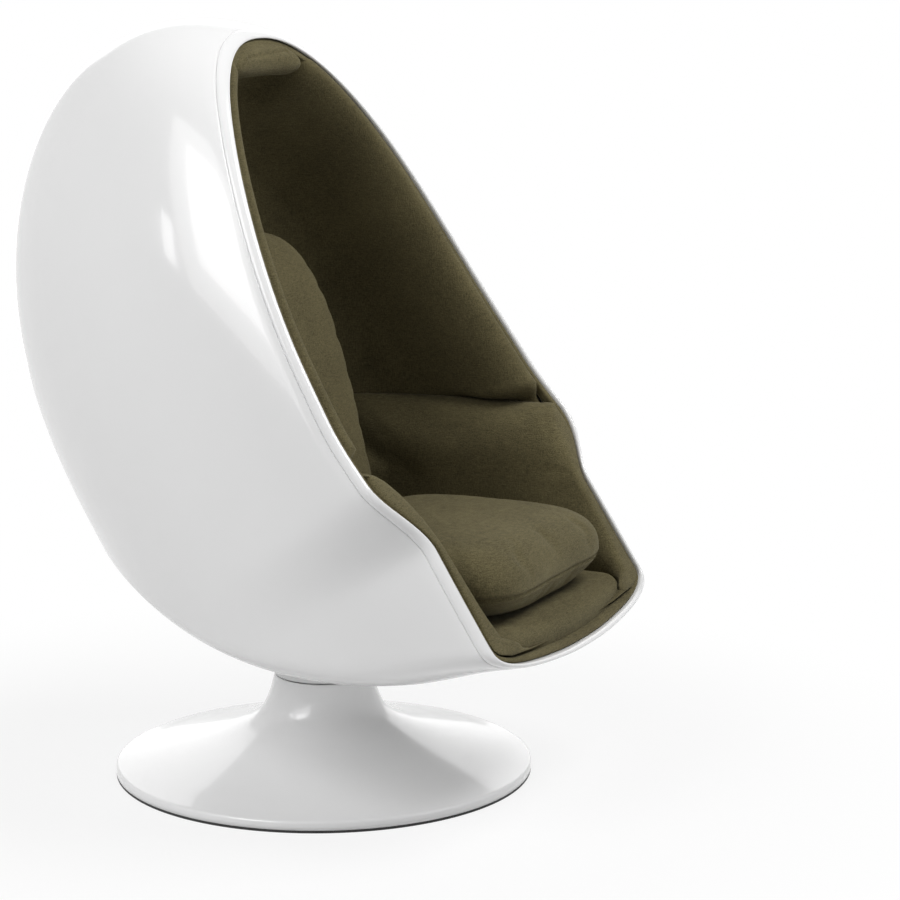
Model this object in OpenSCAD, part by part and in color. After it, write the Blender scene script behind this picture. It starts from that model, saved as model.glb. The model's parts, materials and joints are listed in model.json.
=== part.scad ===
// Pod chair: an egg shell on a trumpet foot, lined and cushioned inside.
// The frame stands on the floor: +Z is up, the sitter faces -Y, and the
// swivel axis is the Z axis. The mouth of the shell is a plane that leans back.

/* [Shell] */
// Height of the front lip's inner edge above the floor
lip_height = 293; // [285:1:305]
// How far the front lip lies ahead of the swivel axis
lip_forward = 485; // [470:1:500]
// Lean of the mouth's plane, in degrees from upright
mouth_tilt = 32.5; // [31:0.5:34]
// Half of the mouth's width before the foot part is drawn in
mouth_half_w = 418; // [405:1:430]
// Reach of the mouth from its widest line up to the crown
crown_reach = 1130; // [1110:1:1150]
// Reach of the mouth from its widest line down to the front lip
foot_reach = 82; // [78:1:88]
// Depth of the egg behind the plane of the mouth
shell_depth = 713; // [695:1:735]
// How much each side of the mouth steps in below the arms
foot_pinch = 81; // [60:1:85]
// How far the mouth's edge bows back beside the arms
mouth_bow = 23; // [15:1:28]
// How far the crown leans forward of the plane of the mouth
crown_lean = 17; // [8:1:22]
// Wall of the moulded shell
shell_wall = 6; // [5:0.5:8]
// Width of the bead round the mouth
bead_w = 12; // [10:1:14]
// Thickness of the bead, across the plane of the mouth
bead_t = 15; // [12:1:17]

/* [Lining] */
// Width of the padded border just inside the bead
border_w = 15; // [13:1:17]
// Thickness of the padded border
border_t = 20; // [17:1:22]
// Thickness of the padded lining
lining_t = 23; // [20:1:25]
// Depth of the lining's back behind the mouth, at the deck
lining_depth = 505; // [490:1:520]

/* [Seat] */
// Height of the seat deck's top above the floor
deck_top = 345; // [342:1:348]
// Thickness of the padding on the seat board
deck_pad_t = 44; // [40:1:46]
// Thickness of the plywood seat board
board_t = 15; // [12:1:18]
// Width of the seat cushion
seat_w = 500; // [486:1:506]
// Depth of the seat cushion, front to back
seat_d = 433; // [420:1:442]
// Height of the seat cushion's side
seat_side_h = 74; // [66:1:80]
// Rise of the seat cushion's crown over its side
seat_crown = 44; // [34:1:50]
// Width of the back cushion
back_w = 450; // [436:1:458]
// Height of the back cushion
back_h = 606; // [590:1:620]
// Thickness of the back cushion at its seam
back_t = 104; // [95:1:110]
// Rise of the back cushion's crown over its seam
back_crown = 20; // [14:1:24]
// Height of the arm pads' tops above the floor
arm_top = 618; // [606:1:626]
// Width of the head pad under the crown
head_pad_w = 252; // [236:1:262]
// Height of the head pad
head_pad_h = 48; // [42:1:52]
// Depth of the head pad, front to back
head_pad_d = 48; // [42:1:52]

/* [Pedestal] */
// Radius of the pedestal's disc
disc_r = 367; // [350:1:385]
// Radius of the pedestal's neck at its top
neck_r = 87; // [85:1:90]
// Height of the neck's top above the floor
neck_top = 174; // [170:1:178]
// Height of the disc's upright edge
edge_h = 15; // [12:1:18]
// Wall of the pedestal's spun skin
skin_t = 3; // [2.5:0.5:4]
// Height of the rubber ring under the disc's edge
rubber_h = 5; // [4:0.5:6]
// Thickness of the steel ballast plate
ballast_t = 10; // [8:1:12]
// Outer radius of the column's tube
column_r = 32; // [29:1:35]
// Wall of the column's tube
column_wall = 4; // [3:0.5:5]

/* [Swivel] */
// Radius of the bearing's balls
ball_r = 5; // [4.5:0.5:5.5]
// Number of balls in the bearing
ball_count = 20; // [16:1:22]
// Radius of the circle that the balls run on
ball_circle_r = 51; // [49:1:53]
// Radius of the spindle that holds the swivel down
spindle_r = 10; // [9:0.5:12]
// Radius of the shank of the swivel plate's bolts
bolt_r = 4; // [3:0.5:5]

/* [Hidden] */

// Colours of the finishes
white_gloss = [0.93, 0.93, 0.92];
olive_felt = [0.34, 0.31, 0.22];
dark_felt = [0.27, 0.25, 0.18];
steel = [0.62, 0.63, 0.65];
dark_steel = [0.35, 0.36, 0.38];
black_rubber = [0.06, 0.06, 0.06];
birch = [0.78, 0.66, 0.47];

// One overrun serves all cuts, and one clearance all seats
over = 1;
seat_gap = 0.3;
wall_gap = 6.2;
run_gap = 0.05;

// Shape of the egg, as powers and shares that were chosen by eye
crown_power = 2.28;
foot_power = 2.5;
heel_power = 2.48;
heel_reach = foot_reach*1.23;
mouth_centre = foot_reach*0.72;
belly_depth = shell_depth*0.286;
belly_power = 2.15;
belly_round_share = 0.556;
belly_skew_share = 0.219;
pole_rise = shell_depth*0.78;
rise_shares = [0.637, -0.218, 0.581];
foot_fade = shell_depth*0.38;
pinch_fade = shell_depth*0.67;
pinch_start = mouth_half_w/2;
step_top = crown_reach*0.324;
step_h = crown_reach*0.12;
bow_start = crown_reach*0.248;
bow_run = crown_reach*0.168;
lean_start = crown_reach*0.496;
lean_run = crown_reach*0.522;
bow_keep = shell_depth*0.028;
bow_fade = shell_depth*0.31;

function smooth_step(t) = let (c = min(max(t, 0), 1)) c*c*(3 - 2*c);
function signed_pow(b, p) = sign(b)*pow(abs(b), p);
function mix(a, b, t) = a + (b - a)*t;

// Size of the ring at depth k behind the mouth, as a share of the mouth
function ring_share(k, depth) =
    let (u = (k - belly_depth)/(depth - belly_depth))
    pow(max(0, 1 - pow(abs(u), belly_power)), belly_round_share)*(1 - belly_skew_share*u);

// How far the ring at depth k has moved up the mouth's plane
function ring_rise(k) =
    let (f = k/shell_depth)
    pole_rise*(rise_shares[0]*f + rise_shares[1]*f*f + rise_shares[2]*f*f*f);

// How much the foot part is drawn in at a place on the egg
function pinch(x, s, k) =
    foot_pinch*smooth_step((step_top - s)/step_h)*pow(max(0, 1 - k/pinch_fade), 2)
        *min(abs(x)/pinch_start, 1);

// Point of the egg at angle a round the ring at depth k, inset by e
function egg_point(a, k, e) =
    let (q = ring_share(k, shell_depth - e), f = smooth_step(k/foot_fade), top = cos(a) >= 0,
        reach = (top ? crown_reach : mix(foot_reach, heel_reach, f)) - e,
        power = top ? crown_power : mix(foot_power, heel_power, f),
        x = (mouth_half_w - e)*q*signed_pow(sin(a), 2/power),
        s = mouth_centre + ring_rise(k) + reach*q*signed_pow(cos(a), 2/power))
    [x - sign(x)*pinch(x, s, k), s, k];

// Half width of the egg, inset by e, at the place s up the mouth and k behind it
function egg_half_w(s, k, e) =
    let (q = ring_share(k, shell_depth - e), f = smooth_step(k/foot_fade),
        rel = s - mouth_centre - ring_rise(k), top = rel >= 0,
        reach = (top ? crown_reach : mix(foot_reach, heel_reach, f)) - e,
        power = top ? crown_power : mix(foot_power, heel_power, f),
        x = (mouth_half_w - e)*q*pow(max(0, 1 - pow(abs(rel)/(reach*q), power)), 1/power))
    x - pinch(x, s, k);

// From the mouth's own axes to the frame, and back for a side view
function to_frame(p) = [p.x, -lip_forward + p.y*sin(mouth_tilt) + p.z*cos(mouth_tilt),
    lip_height + p.y*cos(mouth_tilt) - p.z*sin(mouth_tilt)];
function up_mouth(y, z) = (y + lip_forward)*sin(mouth_tilt) + (z - lip_height)*cos(mouth_tilt);
function behind_mouth(y, z) =
    (y + lip_forward)*cos(mouth_tilt) - (z - lip_height)*sin(mouth_tilt);
// The mouth isn't quite flat: near it, everything bows back or leans forward
function bow(p) = let (s = up_mouth(p.y, p.z), k = behind_mouth(p.y, p.z),
        way = mouth_bow*smooth_step((s - bow_start)/bow_run)
            - (mouth_bow + crown_lean)*smooth_step((s - lean_start)/lean_run))
    [p.x, p.y + way*(1 - smooth_step((k - bow_keep)/bow_fade)), p.z];
function shell_x(y, z, e) = egg_half_w(up_mouth(y, z), behind_mouth(y, z), e);

// Height of the egg's underside, inset by e, over the place x, y. Each pass
// takes the depth again from the height that the last pass gave.
function under_pass(x, y, e, k, n) =
    let (q = ring_share(k, shell_depth - e), f = smooth_step(k/foot_fade),
        reach = mix(foot_reach, heel_reach, f) - e, power = mix(foot_power, heel_power, f),
        drawn_in = foot_pinch*pow(max(0, 1 - k/pinch_fade), 2),
        wide = abs(x) > pinch_start - drawn_in ? abs(x) + drawn_in : abs(x)/(1 - drawn_in/pinch_start),
        w = wide/((mouth_half_w - e)*q),
        s = mouth_centre + ring_rise(k) - reach*q*pow(max(0, 1 - pow(w, power)), 1/power))
    n == 0 ? to_frame([x, s, k]).z
    : under_pass(x, y, e, (y + lip_forward - s*sin(mouth_tilt))/cos(mouth_tilt), n - 1);
passes = 14;
function under_z(x, y, e) = under_pass(x, y, e, (y + lip_forward)*cos(mouth_tilt), passes);

// Angles round the mouth at even runs of its edge, closer on the side steps
fine_steps = 720;
step_crowd = 1.6;
fine_mouth = [for (i = [0:fine_steps]) egg_point(180*i/fine_steps, 0, 0)];
function crowd(s) = 1 + (s > step_top - step_h*1.2 && s < step_top ? step_crowd : 0);
mouth_runs = [for (i = 0, run = 0; i <= fine_steps;
    run = run + (i < fine_steps ? norm(fine_mouth[i + 1] - fine_mouth[i])*crowd(fine_mouth[i].y) : 0),
    i = i + 1) [run, 180*i/fine_steps]];
mouth_run = mouth_runs[fine_steps][0];
function mouth_angles(half) = concat(
    [for (i = [0:half]) lookup(mouth_run*i/half, mouth_runs)],
    [for (i = [half - 1:-1:1]) -lookup(mouth_run*i/half, mouth_runs)]);

// Closed mesh over a stack of rings, each with the same count of points
function side_faces(rings, count) = [for (j = [0:rings - 2], i = [0:count - 1], h = [0, 1])
    let (n = (i + 1)%count, a = j*count + i, b = j*count + n, c = b + count, d = a + count)
    h == 0 ? [a, b, c] : [a, c, d]];
function bowed(lists) = [for (one = lists, p = one) bow(p)];
module ring_stack(drawn, strip = false) {
    rings = faced(drawn, ring_mid(drawn[len(drawn) - 1]) - ring_mid(drawn[0]));
    count = len(rings[0]);
    total = len(rings)*count;
    polyhedron(
        points = concat(bowed(rings),
            strip ? [] : bowed([[ring_mid(rings[0]), ring_mid(rings[len(rings) - 1])]])),
        faces = concat(side_faces(len(rings), count), strip ? strip_ends(count, total - count) : concat(
            [for (i = [0:count - 1]) [(i + 1)%count, i, total]],
            [for (i = [0:count - 1]) [total - count + i, total - count + (i + 1)%count, total + 1]])));
}
// Ends of a stack whose rings run along one face and back along the other
function strip_ends(count, last) = [for (i = [0:count/2 - 2], h = [0:3])
    let (j = count - 1 - i)
    h == 0 ? [i + 1, i, j] : h == 1 ? [i + 1, j, j - 1]
    : h == 2 ? [last + i, last + i + 1, last + j] : [last + i + 1, last + j - 1, last + j]];
function sum_of(v) = [for (i = v) 1]*v;
function ring_mid(ring) = sum_of(ring)/len(ring);
function ring_area(ring) = let (m = ring_mid(ring), n = len(ring))
    sum_of([for (i = [0:n - 1]) cross(ring[i] - m, ring[(i + 1)%n] - m)]);
// Rings turned so that their faces look outwards, for rings that run this way
function faced(rings, way) = ring_area(rings[floor((len(rings) - 1)/2)])*way < 0 ? rings
    : [for (r = rings) [for (i = [len(r) - 1:-1:0]) r[i]]];

// Closed mesh over a stack of rings whose last ring joins its first
module ring_loop(drawn) {
    rings = ring_area(drawn[0])*(ring_mid(drawn[1]) - ring_mid(drawn[0])) < 0 ? drawn
        : [for (r = drawn) [for (i = [len(r) - 1:-1:0]) r[i]]];
    count = len(rings[0]);
    total = len(rings)*count;
    polyhedron(points = bowed(rings),
        faces = [for (j = [0:len(rings) - 1], i = [0:count - 1], h = [0, 1])
            let (n = (i + 1)%count, a = j*count + i, b = j*count + n,
                c = (b + count)%total, d = (a + count)%total)
            h == 0 ? [a, b, c] : [a, c, d]]);
}

// Shell: an outer and an inner egg, joined round the mouth
shell_half = 46;
outer_rings = 15;
inner_rings = outer_rings;
function egg_rings(angles, n, e) = [for (j = [0:n - 1])
    [for (a = angles) to_frame(egg_point(a, (shell_depth - e)*sin(90*j/n), e))]];
function egg_pole(e) = to_frame([0, mouth_centre + ring_rise(shell_depth - e), shell_depth - e]);
module shell() {
    angles = mouth_angles(shell_half);
    count = len(angles);
    outer = egg_rings(angles, outer_rings, 0);
    inner = egg_rings(angles, inner_rings, shell_wall);
    // The rings run from the outer pole to the mouth and on to the inner pole
    rings = concat([for (j = [outer_rings - 1:-1:0]) outer[j]], inner);
    total = len(rings)*count;
    color(white_gloss)
        polyhedron(points = concat(bowed(rings), [egg_pole(0), egg_pole(shell_wall)]),
            faces = concat(side_faces(len(rings), count),
                [for (i = [0:count - 1]) [(i + 1)%count, i, total]],
                [for (i = [0:count - 1])
                    [total - count + i, total - count + (i + 1)%count, total + 1]]));
}

// Strip that follows the mouth: each point of its section is a way in from
// the edge and a way behind the mouth's plane
function mouth_strip(half, section) =
    [for (a = mouth_angles(half)) [for (p = section) to_frame(egg_point(a, p.y, p.x))]];
bead_shares = [[0, 0], [0, 0.45], [0.12, 0.82], [0.35, 1], [0.65, 1], [0.88, 0.82],
    [0.985, 0.45], [0.93, 0]];
module mouth_bead()
    color(white_gloss)
        ring_loop(mouth_strip(shell_half,
            [for (b = bead_shares) [bead_w*b.x, -bead_t*b.y - seat_gap]]));

// Padded border roll, tucked behind the bead's inner edge
border_mid_e = bead_w - seat_gap + border_w/2;
border_mid_k = border_t/2 - bead_t*0.55;
border_sides = 8;
border_square_share = 0.75;
module border_roll()
    color(olive_felt)
        ring_loop(mouth_strip(shell_half, [for (i = [0:border_sides - 1]) let (b = 360*i/border_sides)
            [border_mid_e + border_w/2*signed_pow(cos(b), border_square_share),
                border_mid_k + border_t/2*signed_pow(sin(b), border_square_share)]]));

// Lining: level sections that run from one side of the mouth round the back
// to the other, from the deck up to the crown
lining_e = shell_wall + wall_gap + lining_t;
lining_room = 4.2*seat_gap;
lining_front_k = border_mid_k + border_t/2 + lining_room;
lining_foot_power = 3.4;
lining_crown_power = 2.2;
lining_lean_share = 0.5;
lining_hood_power = 4;
lining_hood_share = 0.4;
lining_base = deck_top + seat_gap;
up_foot_back = (lining_base - lip_height + lining_depth*sin(mouth_tilt))/cos(mouth_tilt);
lining_foot_y = to_frame([0, up_foot_back, lining_depth]).y;
lining_crown = mouth_centre + (crown_reach - lining_e)*ring_share(lining_front_k, shell_depth - lining_e)
    + ring_rise(lining_front_k);
function mouth_y(z, k) = -lip_forward + ((z - lip_height)*sin(mouth_tilt) + k)/cos(mouth_tilt);
function crown_z(thick) = to_frame([0, lining_crown + thick, lining_front_k]).z;
// Line up the middle of the back, as pairs of height and y; thick is the way outwards
profile_n = 60;
function back_profile(thick) = [for (i = [0:profile_n])
    let (climb = sin(90*i/profile_n),
        p = to_frame([0, mix(up_foot_back, lining_crown + thick, climb),
            lining_front_k + (lining_depth - lining_front_k + thick)
                *pow(1 - pow(climb, lining_hood_power), lining_hood_share)*(1 - lining_lean_share*climb)]))
    [p.z, p.y]];
inner_profile = back_profile(0);
outer_profile = back_profile(lining_t);
function lining_rim_x(z, thick) = shell_x(mouth_y(z, lining_front_k), z, lining_e - thick);
function lining_power(z) =
    mix(lining_foot_power, lining_crown_power, smooth_step((z - deck_top)/(crown_z(0) - deck_top)));
function lining_point(z, b, thick) =
    let (front = mouth_y(z, lining_front_k), back = lookup(z, thick > 0 ? outer_profile : inner_profile),
        p = 2/lining_power(z))
    [lining_rim_x(z, thick)*signed_pow(sin(b), p), mix(front, back, pow(cos(b), p)), z];
// Inner half width of the lining at a place
function lining_x(y, z) =
    let (front = mouth_y(z, lining_front_k), back = lookup(z, inner_profile), p = lining_power(z),
        share = min(max((y - front)/(back - front), 0), 1))
    lining_rim_x(z, 0)*pow(1 - pow(share, p), 1/p);
// Shares of the way up to the arms' tops, then of the way on to the crown
low_rows = 10;
high_rows = 14;
lining_cols = 22;
function lining_z(i, thick) = i <= low_rows ? mix(lining_base, arm_top, i/low_rows)
    : mix(arm_top, crown_z(thick), sin(90*(i - low_rows)/(high_rows + 0.5)));
module lining() {
    cols = [for (i = [0:lining_cols]) -90 + 180*i/lining_cols];
    color(olive_felt)
        ring_stack([for (i = [0:low_rows + high_rows]) concat(
            [for (b = cols) lining_point(lining_z(i, 0), b, 0)],
            [for (j = [lining_cols:-1:0]) lining_point(lining_z(i, lining_t), cols[j], lining_t)])],
            strip = true);
}

// Places of the seat cushion's front and of the back cushion's foot
seat_set_back = 23;
seat_front_y = -lip_forward + seat_set_back;
back_reach = back_t/2 + seat_gap;
back_gap = 4.5;
back_foot_y = seat_front_y + seat_d + back_reach + back_gap;

// Arm pads stand on the deck against the lining, cut back low down in front
arm_gap = 6;
arm_lean = 44;
arm_back_run = 75;
arm_foot_x = seat_w/2 + arm_gap;
arm_top_x = arm_foot_x + arm_lean;
arm_back_y = back_foot_y + arm_back_run;
arm_front_k = lining_front_k + over;
arm_undercut = 16;
arm_undercut_h = 120;
arm_round_share = 0.17;
arm_top_power = 6;
arm_face_power = 2.4;
arm_rows = 14;
arm_wall_gap = wall_gap*0.32;
arm_least = 0.4;
arm_shares = concat([for (i = [0:low_rows - 1]) i/low_rows], [0.95, 0.985, 1]);
function arm_front_y(z) = mouth_y(z, arm_front_k)
    + arm_undercut*(1 - smooth_step((z - deck_top)/arm_undercut_h));
// The lining's inner face between two of its own rows
function wall_x(y, z) =
    let (f = (z - lining_base)/(arm_top - lining_base)*low_rows, i = min(floor(f), low_rows - 1))
    mix(lining_x(y, lining_z(i, 0)), lining_x(y, lining_z(i + 1, 0)), f - i) - arm_wall_gap;
// Inner face of the pad: x at height z, where its top rolls over to the wall
function arm_face_x(t, wall) =
    mix(wall, min(mix(arm_foot_x, arm_top_x, t), wall - arm_least),
        pow(max(0, 1 - pow(t, arm_top_power)), 1/arm_face_power));
function arm_ring(j) =
    let (t = pow(j/(arm_rows - 1), 1.6), lead = 1 - min(t/arm_round_share, 1),
        round_off = sqrt(max(0, 1 - lead*lead)),
        rows = [for (l = arm_shares)
            let (z = mix(lining_base, arm_top, l), y = mix(arm_front_y(z), arm_back_y, t))
            [wall_x(y, z), y, z, l]])
    concat(
        [for (r = rows) [min(mix(r.x, arm_face_x(r[3], r.x), round_off), r.x - arm_least), r.y, r.z]],
        [for (i = [len(rows) - 1:-1:0]) [rows[i].x, rows[i].y, rows[i].z]]);
module arm_pad(side)
    color(olive_felt)
        ring_stack([for (j = [0:arm_rows - 1]) [for (p = arm_ring(j)) [side*p.x, p.y, p.z]]], strip = true);

// Crowned cushion: rings of one outline, each a share of it at its own height
function cushion_rings(outline, mid, levels) = [for (l = levels)
    [for (p = outline) [mix(mid.x, p.x, l[0]), mix(mid.y, p.y, l[0]), l[1]]]];

// Seat cushion: a rounded front, a straighter back, drawn in between corners
seat_mid_y = seat_front_y + seat_d/2;
seat_outline_n = 36;
seat_front_power = 3.4;
seat_back_power = 5;
seat_outline = [for (i = [0:seat_outline_n - 1])
    let (a = 360*i/seat_outline_n, p = sin(a) < 0 ? seat_front_power : seat_back_power)
    [seat_w/2*signed_pow(cos(a), 2/p), seat_mid_y + seat_d/2*signed_pow(sin(a), 2/p)]];
seat_base = deck_top + seat_gap;
side_draw_share = 0.975;
seat_levels = [[0.5, seat_base], [0.94, seat_base], [0.985, seat_base + seat_side_h*0.12],
    [side_draw_share, seat_base + seat_side_h*0.35],
    [side_draw_share, seat_base + seat_side_h*0.7], [1, seat_base + seat_side_h],
    [0.985, seat_base + seat_side_h + seat_crown*0.25],
    [0.9, seat_base + seat_side_h + seat_crown*0.6],
    [0.7, seat_base + seat_side_h + seat_crown*0.86],
    [0.4, seat_base + seat_side_h + seat_crown]];
module seat_cushion()
    color(olive_felt)
        ring_stack(cushion_rings(seat_outline, [0, seat_mid_y], seat_levels));

// Back cushion: stands on the deck behind the seat cushion and leans back
back_lean_deg = 11;
back_bend = 46;
back_outline_n = 36;
back_top_power = 3.2;
back_foot_power = 6;
back_outline = [for (i = [0:back_outline_n - 1])
    let (a = 360*i/back_outline_n, p = sin(a) > 0 ? back_top_power : back_foot_power)
    [back_w/2*signed_pow(cos(a), 2/p), back_h/2*(1 + signed_pow(sin(a), 2/p))]];
back_levels = [[0.05, -back_t/2 - back_crown], [0.4, -back_t/2 - back_crown],
    [0.72, -back_t/2 - back_crown*0.86], [0.9, -back_t/2 - back_crown*0.5],
    [0.985, -back_t/2 + back_crown*0.15], [1, -back_t/2 + back_crown*0.7], [0.975, 0],
    [1, back_t/2 - back_crown*0.7], [0.985, back_t/2], [0.86, back_t/2 + back_crown*0.5],
    [0.4, back_t/2 + back_crown], [0.05, back_t/2 + back_crown]];
back_sink = (back_t/2 - back_crown*0.7)*sin(back_lean_deg);
function back_place(p) =
    let (h = p.y, bend = back_bend*pow(max(0, h/back_h), 2))
    [p.x, back_foot_y + h*sin(back_lean_deg) + (p.z*cos(back_lean_deg)) + bend,
        deck_top + seat_gap + back_sink + h*cos(back_lean_deg) - p.z*sin(back_lean_deg)];
module back_cushion()
    color(olive_felt)
        ring_stack([for (r = cushion_rings(back_outline, [0, back_h/2], back_levels))
            [for (p = r) back_place(p)]]);

// Zips in the hidden edges of the two loose cushions
zip_l = seat_w*0.45;
zip_h = seat_side_h*0.3;
zip_t = 2;
module seat_zip()
    color(dark_felt)
        translate([-zip_l/2, seat_mid_y + seat_d/2*side_draw_share + seat_gap,
            seat_base + seat_side_h*0.52 - zip_h/2])
            cube([zip_l, zip_t, zip_h]);
back_zip_l = back_w*0.32;
back_zip_at = back_h*0.36;
module back_zip()
    color(dark_felt)
        ring_stack([for (x = [-back_zip_l/2, back_zip_l/2])
            [for (c = [[0, 0], [zip_h, 0], [zip_h, zip_t], [0, zip_t]])
                back_place([x, back_zip_at + c.x, back_t/2 + back_crown + 2*seat_gap + c.y])]]);

// Head pad: a bolster that follows the inside of the crown
pad_n = 14;
pad_slices = 14;
pad_drop = 0.4;
pad_proud = 6;
pad_mid_e = lining_e + pad_drop + head_pad_h/2;
pad_mid_k = head_pad_d/2 - pad_proud;
function crown_s(x, k, e) = let (q = ring_share(k, shell_depth - e))
    mouth_centre + ring_rise(k) + (crown_reach - e)*q
        *pow(1 - pow(abs(x)/((mouth_half_w - e)*q), crown_power), 1/crown_power);
module head_pad()
    color(olive_felt)
        ring_stack([for (j = [0:pad_slices])
            let (t = sin(90*(2*j/pad_slices - 1)), fat = pow(1 - pow(min(abs(t), 0.99), 5), 0.4),
                x = t*head_pad_w/2, s = crown_s(x, pad_mid_k, pad_mid_e))
            [for (i = [0:pad_n - 1])
                let (a = -360*i/pad_n)
                to_frame([x, s + head_pad_h/2*fat*signed_pow(sin(a), 0.85),
                    pad_mid_k + head_pad_d/2*fat*signed_pow(cos(a), 0.85)])]]);

// Seat board, cut to the shell's inside and to the curve of the front lip
deck_base = deck_top - deck_pad_t;
deck_edge_gap = 6.2;
deck_back_y = lining_foot_y + lining_t;
deck_front_k = lining_front_k;
deck_rows = 11;
deck_front_n = 8;
deck_arc = foot_reach*0.16;
board_base = deck_base - board_t;
board_corner_share = 0.55;
board_corner_power = 6;
board_front_y = mouth_y(deck_base, deck_front_k);
board_back_y = deck_back_y*0.6;
function board_half_x(y, z, back) =
    let (t = max(0, (y - board_front_y)/(back - board_front_y)))
    shell_x(y, z, shell_wall + deck_edge_gap)
        *(1 - pow(t, board_corner_power)*(1 - board_corner_share));
// Outline at the height z, whose front edge has moved back by inset
function deck_outline(z, inset, back) =
    let (front = board_front_y + inset, x0 = board_half_x(front + deck_arc, z, back),
        ys = [for (i = [0:deck_rows]) mix(front + deck_arc, back, i/deck_rows)])
    concat([for (i = [0:deck_front_n - 1])
            let (x = mix(-1, 1, i/deck_front_n)) [x0*x, front + deck_arc*x*x]],
        [for (y = ys) [board_half_x(y, z, back), y]],
        [for (i = [deck_rows:-1:1]) [-board_half_x(ys[i], z, back), ys[i]]]);
module seat_board()
    color(birch)
        difference() {
            translate([0, 0, board_base])
                linear_extrude(height = board_t)
                    polygon(deck_outline(board_base, 0, board_back_y));
            for (p = block_places)
                translate([p.x, p.y, board_base - over])
                    cylinder(r = screw_r + seat_gap, h = board_t + 2*over, $fn = 24);
        }

// Seat deck: padding on the board that rolls down to the lip in front
deck_shares = [[0, 0], [0.45, 0.08], [0.75, 0.3], [0.92, 0.6], [1, 1]];
deck_roll = 56;
module seat_deck()
    color(olive_felt)
        ring_stack([for (l = deck_shares)
            let (z = mix(deck_base + seat_gap, deck_top, l[0]),
                inset = max(mouth_y(z, deck_front_k) - board_front_y, deck_roll*l[1]))
            [for (p = deck_outline(z, inset, deck_back_y)) [p.x, p.y, z]]]);

// Blocks between the shell's floor and the seat board, and their screws
block_w = 60;
block_d = 70;
screw_r = 3;
screw_l = 34;
block_gap = 2.4;
board_front_half = mouth_half_w - foot_pinch;
block_places = [for (x = [-0.6, 0.6]*board_front_half, y = [-0.62*lip_forward, 0]) [x, y]];
module block(p) {
    n = 4;
    low = [for (j = [0:n - 1], i = [0:n - 1])
        let (x = p.x + block_w*(i/(n - 1) - 0.5), y = p.y + block_d*(j/(n - 1) - 0.5))
        [x, y, under_z(x, y, shell_wall) + block_gap]];
    high = [for (q = low) [q.x, q.y, board_base]];
    top = n*n;
    edge = concat([for (i = [0:n - 1]) i], [for (j = [1:n - 1]) j*n + n - 1],
        [for (i = [n - 2:-1:0]) (n - 1)*n + i], [for (j = [n - 2:-1:1]) j*n]);
    m = len(edge);
    polyhedron(points = concat(low, high),
        faces = concat(
            [for (j = [0:n - 2], i = [0:n - 2], h = [0, 1]) let (a = j*n + i)
                h == 0 ? [a, a + 1, a + n + 1] : [a, a + n + 1, a + n]],
            [for (j = [0:n - 2], i = [0:n - 2], h = [0, 1]) let (a = top + j*n + i)
                h == 0 ? [a, a + n + 1, a + 1] : [a, a + n, a + n + 1]],
            [for (i = [0:m - 1], h = [0, 1]) let (a = edge[i], b = edge[(i + 1)%m])
                h == 0 ? [a, top + b, b] : [a, top + a, top + b]]));
}
module board_blocks()
    color(birch)
        for (p = block_places)
            difference() {
                block(p);
                translate([p.x, p.y, board_base + board_t - screw_l])
                    cylinder(r = screw_r + seat_gap, h = screw_l + over, $fn = 24);
            }
module board_screws()
    color(steel)
        for (p = block_places)
            translate([p.x, p.y, deck_base - screw_l])
                cylinder(r = screw_r, h = screw_l, $fn = 24);

// Boss under the shell: flares from the neck's radius up to the egg
boss_gap = 2;
boss_base = neck_top + boss_gap;
boss_spread = 95;
boss_wall = 7;
boss_top_gap = 0.3;
boss_n = 48;
boss_steps = 7;
function boss_ring(t, inset) = [for (i = [0:boss_n - 1])
    let (a = 360*i/boss_n, r = neck_r + boss_spread*(1 - sqrt(max(0, 1 - t*t))),
        full = neck_r + boss_spread, z1 = under_z(full*cos(a), full*sin(a), 0) - boss_top_gap,
        ri = r - inset,
        z = mix(boss_base, z1, t))
    [ri*cos(a), ri*sin(a),
        t >= 1 ? under_z(ri*cos(a), ri*sin(a), 0) - boss_top_gap
        : min(z, under_z(ri*cos(a), ri*sin(a), 0) - boss_top_gap)]];
module shell_boss() {
    outer = [for (j = [0:boss_steps]) boss_ring(j/boss_steps, 0)];
    inner = [for (j = [boss_steps:-1:0]) boss_ring(j/boss_steps, boss_wall)];
    color(white_gloss) ring_loop(concat(outer, inner));
}

// Bearing stack: heights from the column's head up to the mounting block
race_t = 8;
race_half_w = 10;
ball_rise = 4;
ball_mid_z = neck_top + ball_rise;
head_t = 6;
race_depth = ball_r*0.35;
lower_race_top = ball_mid_z - ball_r + race_depth;
head_top = lower_race_top - race_t;
upper_race_base = ball_mid_z + ball_r - race_depth;
plate_base = upper_race_base + race_t;
plate_t = 8;
plate_r = 80;
plate_top = plate_base + plate_t;
head_r = 68;
groove_r = ball_r + run_gap;
module race(z)
    difference() {
        translate([0, 0, z])
            rotate_extrude($fn = 96)
                translate([ball_circle_r - race_half_w, 0])
                    square([2*race_half_w, race_t]);
        translate([0, 0, ball_mid_z])
            rotate_extrude($fn = 96)
                translate([ball_circle_r, 0])
                    circle(r = groove_r, $fn = 32);
    }
module lower_race() color(steel) race(head_top);
module upper_race() color(steel) race(upper_race_base);
module bearing_balls()
    color(steel)
        for (i = [0:ball_count - 1])
            rotate([0, 0, 360*i/ball_count])
                translate([ball_circle_r, 0, ball_mid_z])
                    sphere(r = ball_r, $fn = 32);
cage_t = 2.6;
cage_half_w = 8;
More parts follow.
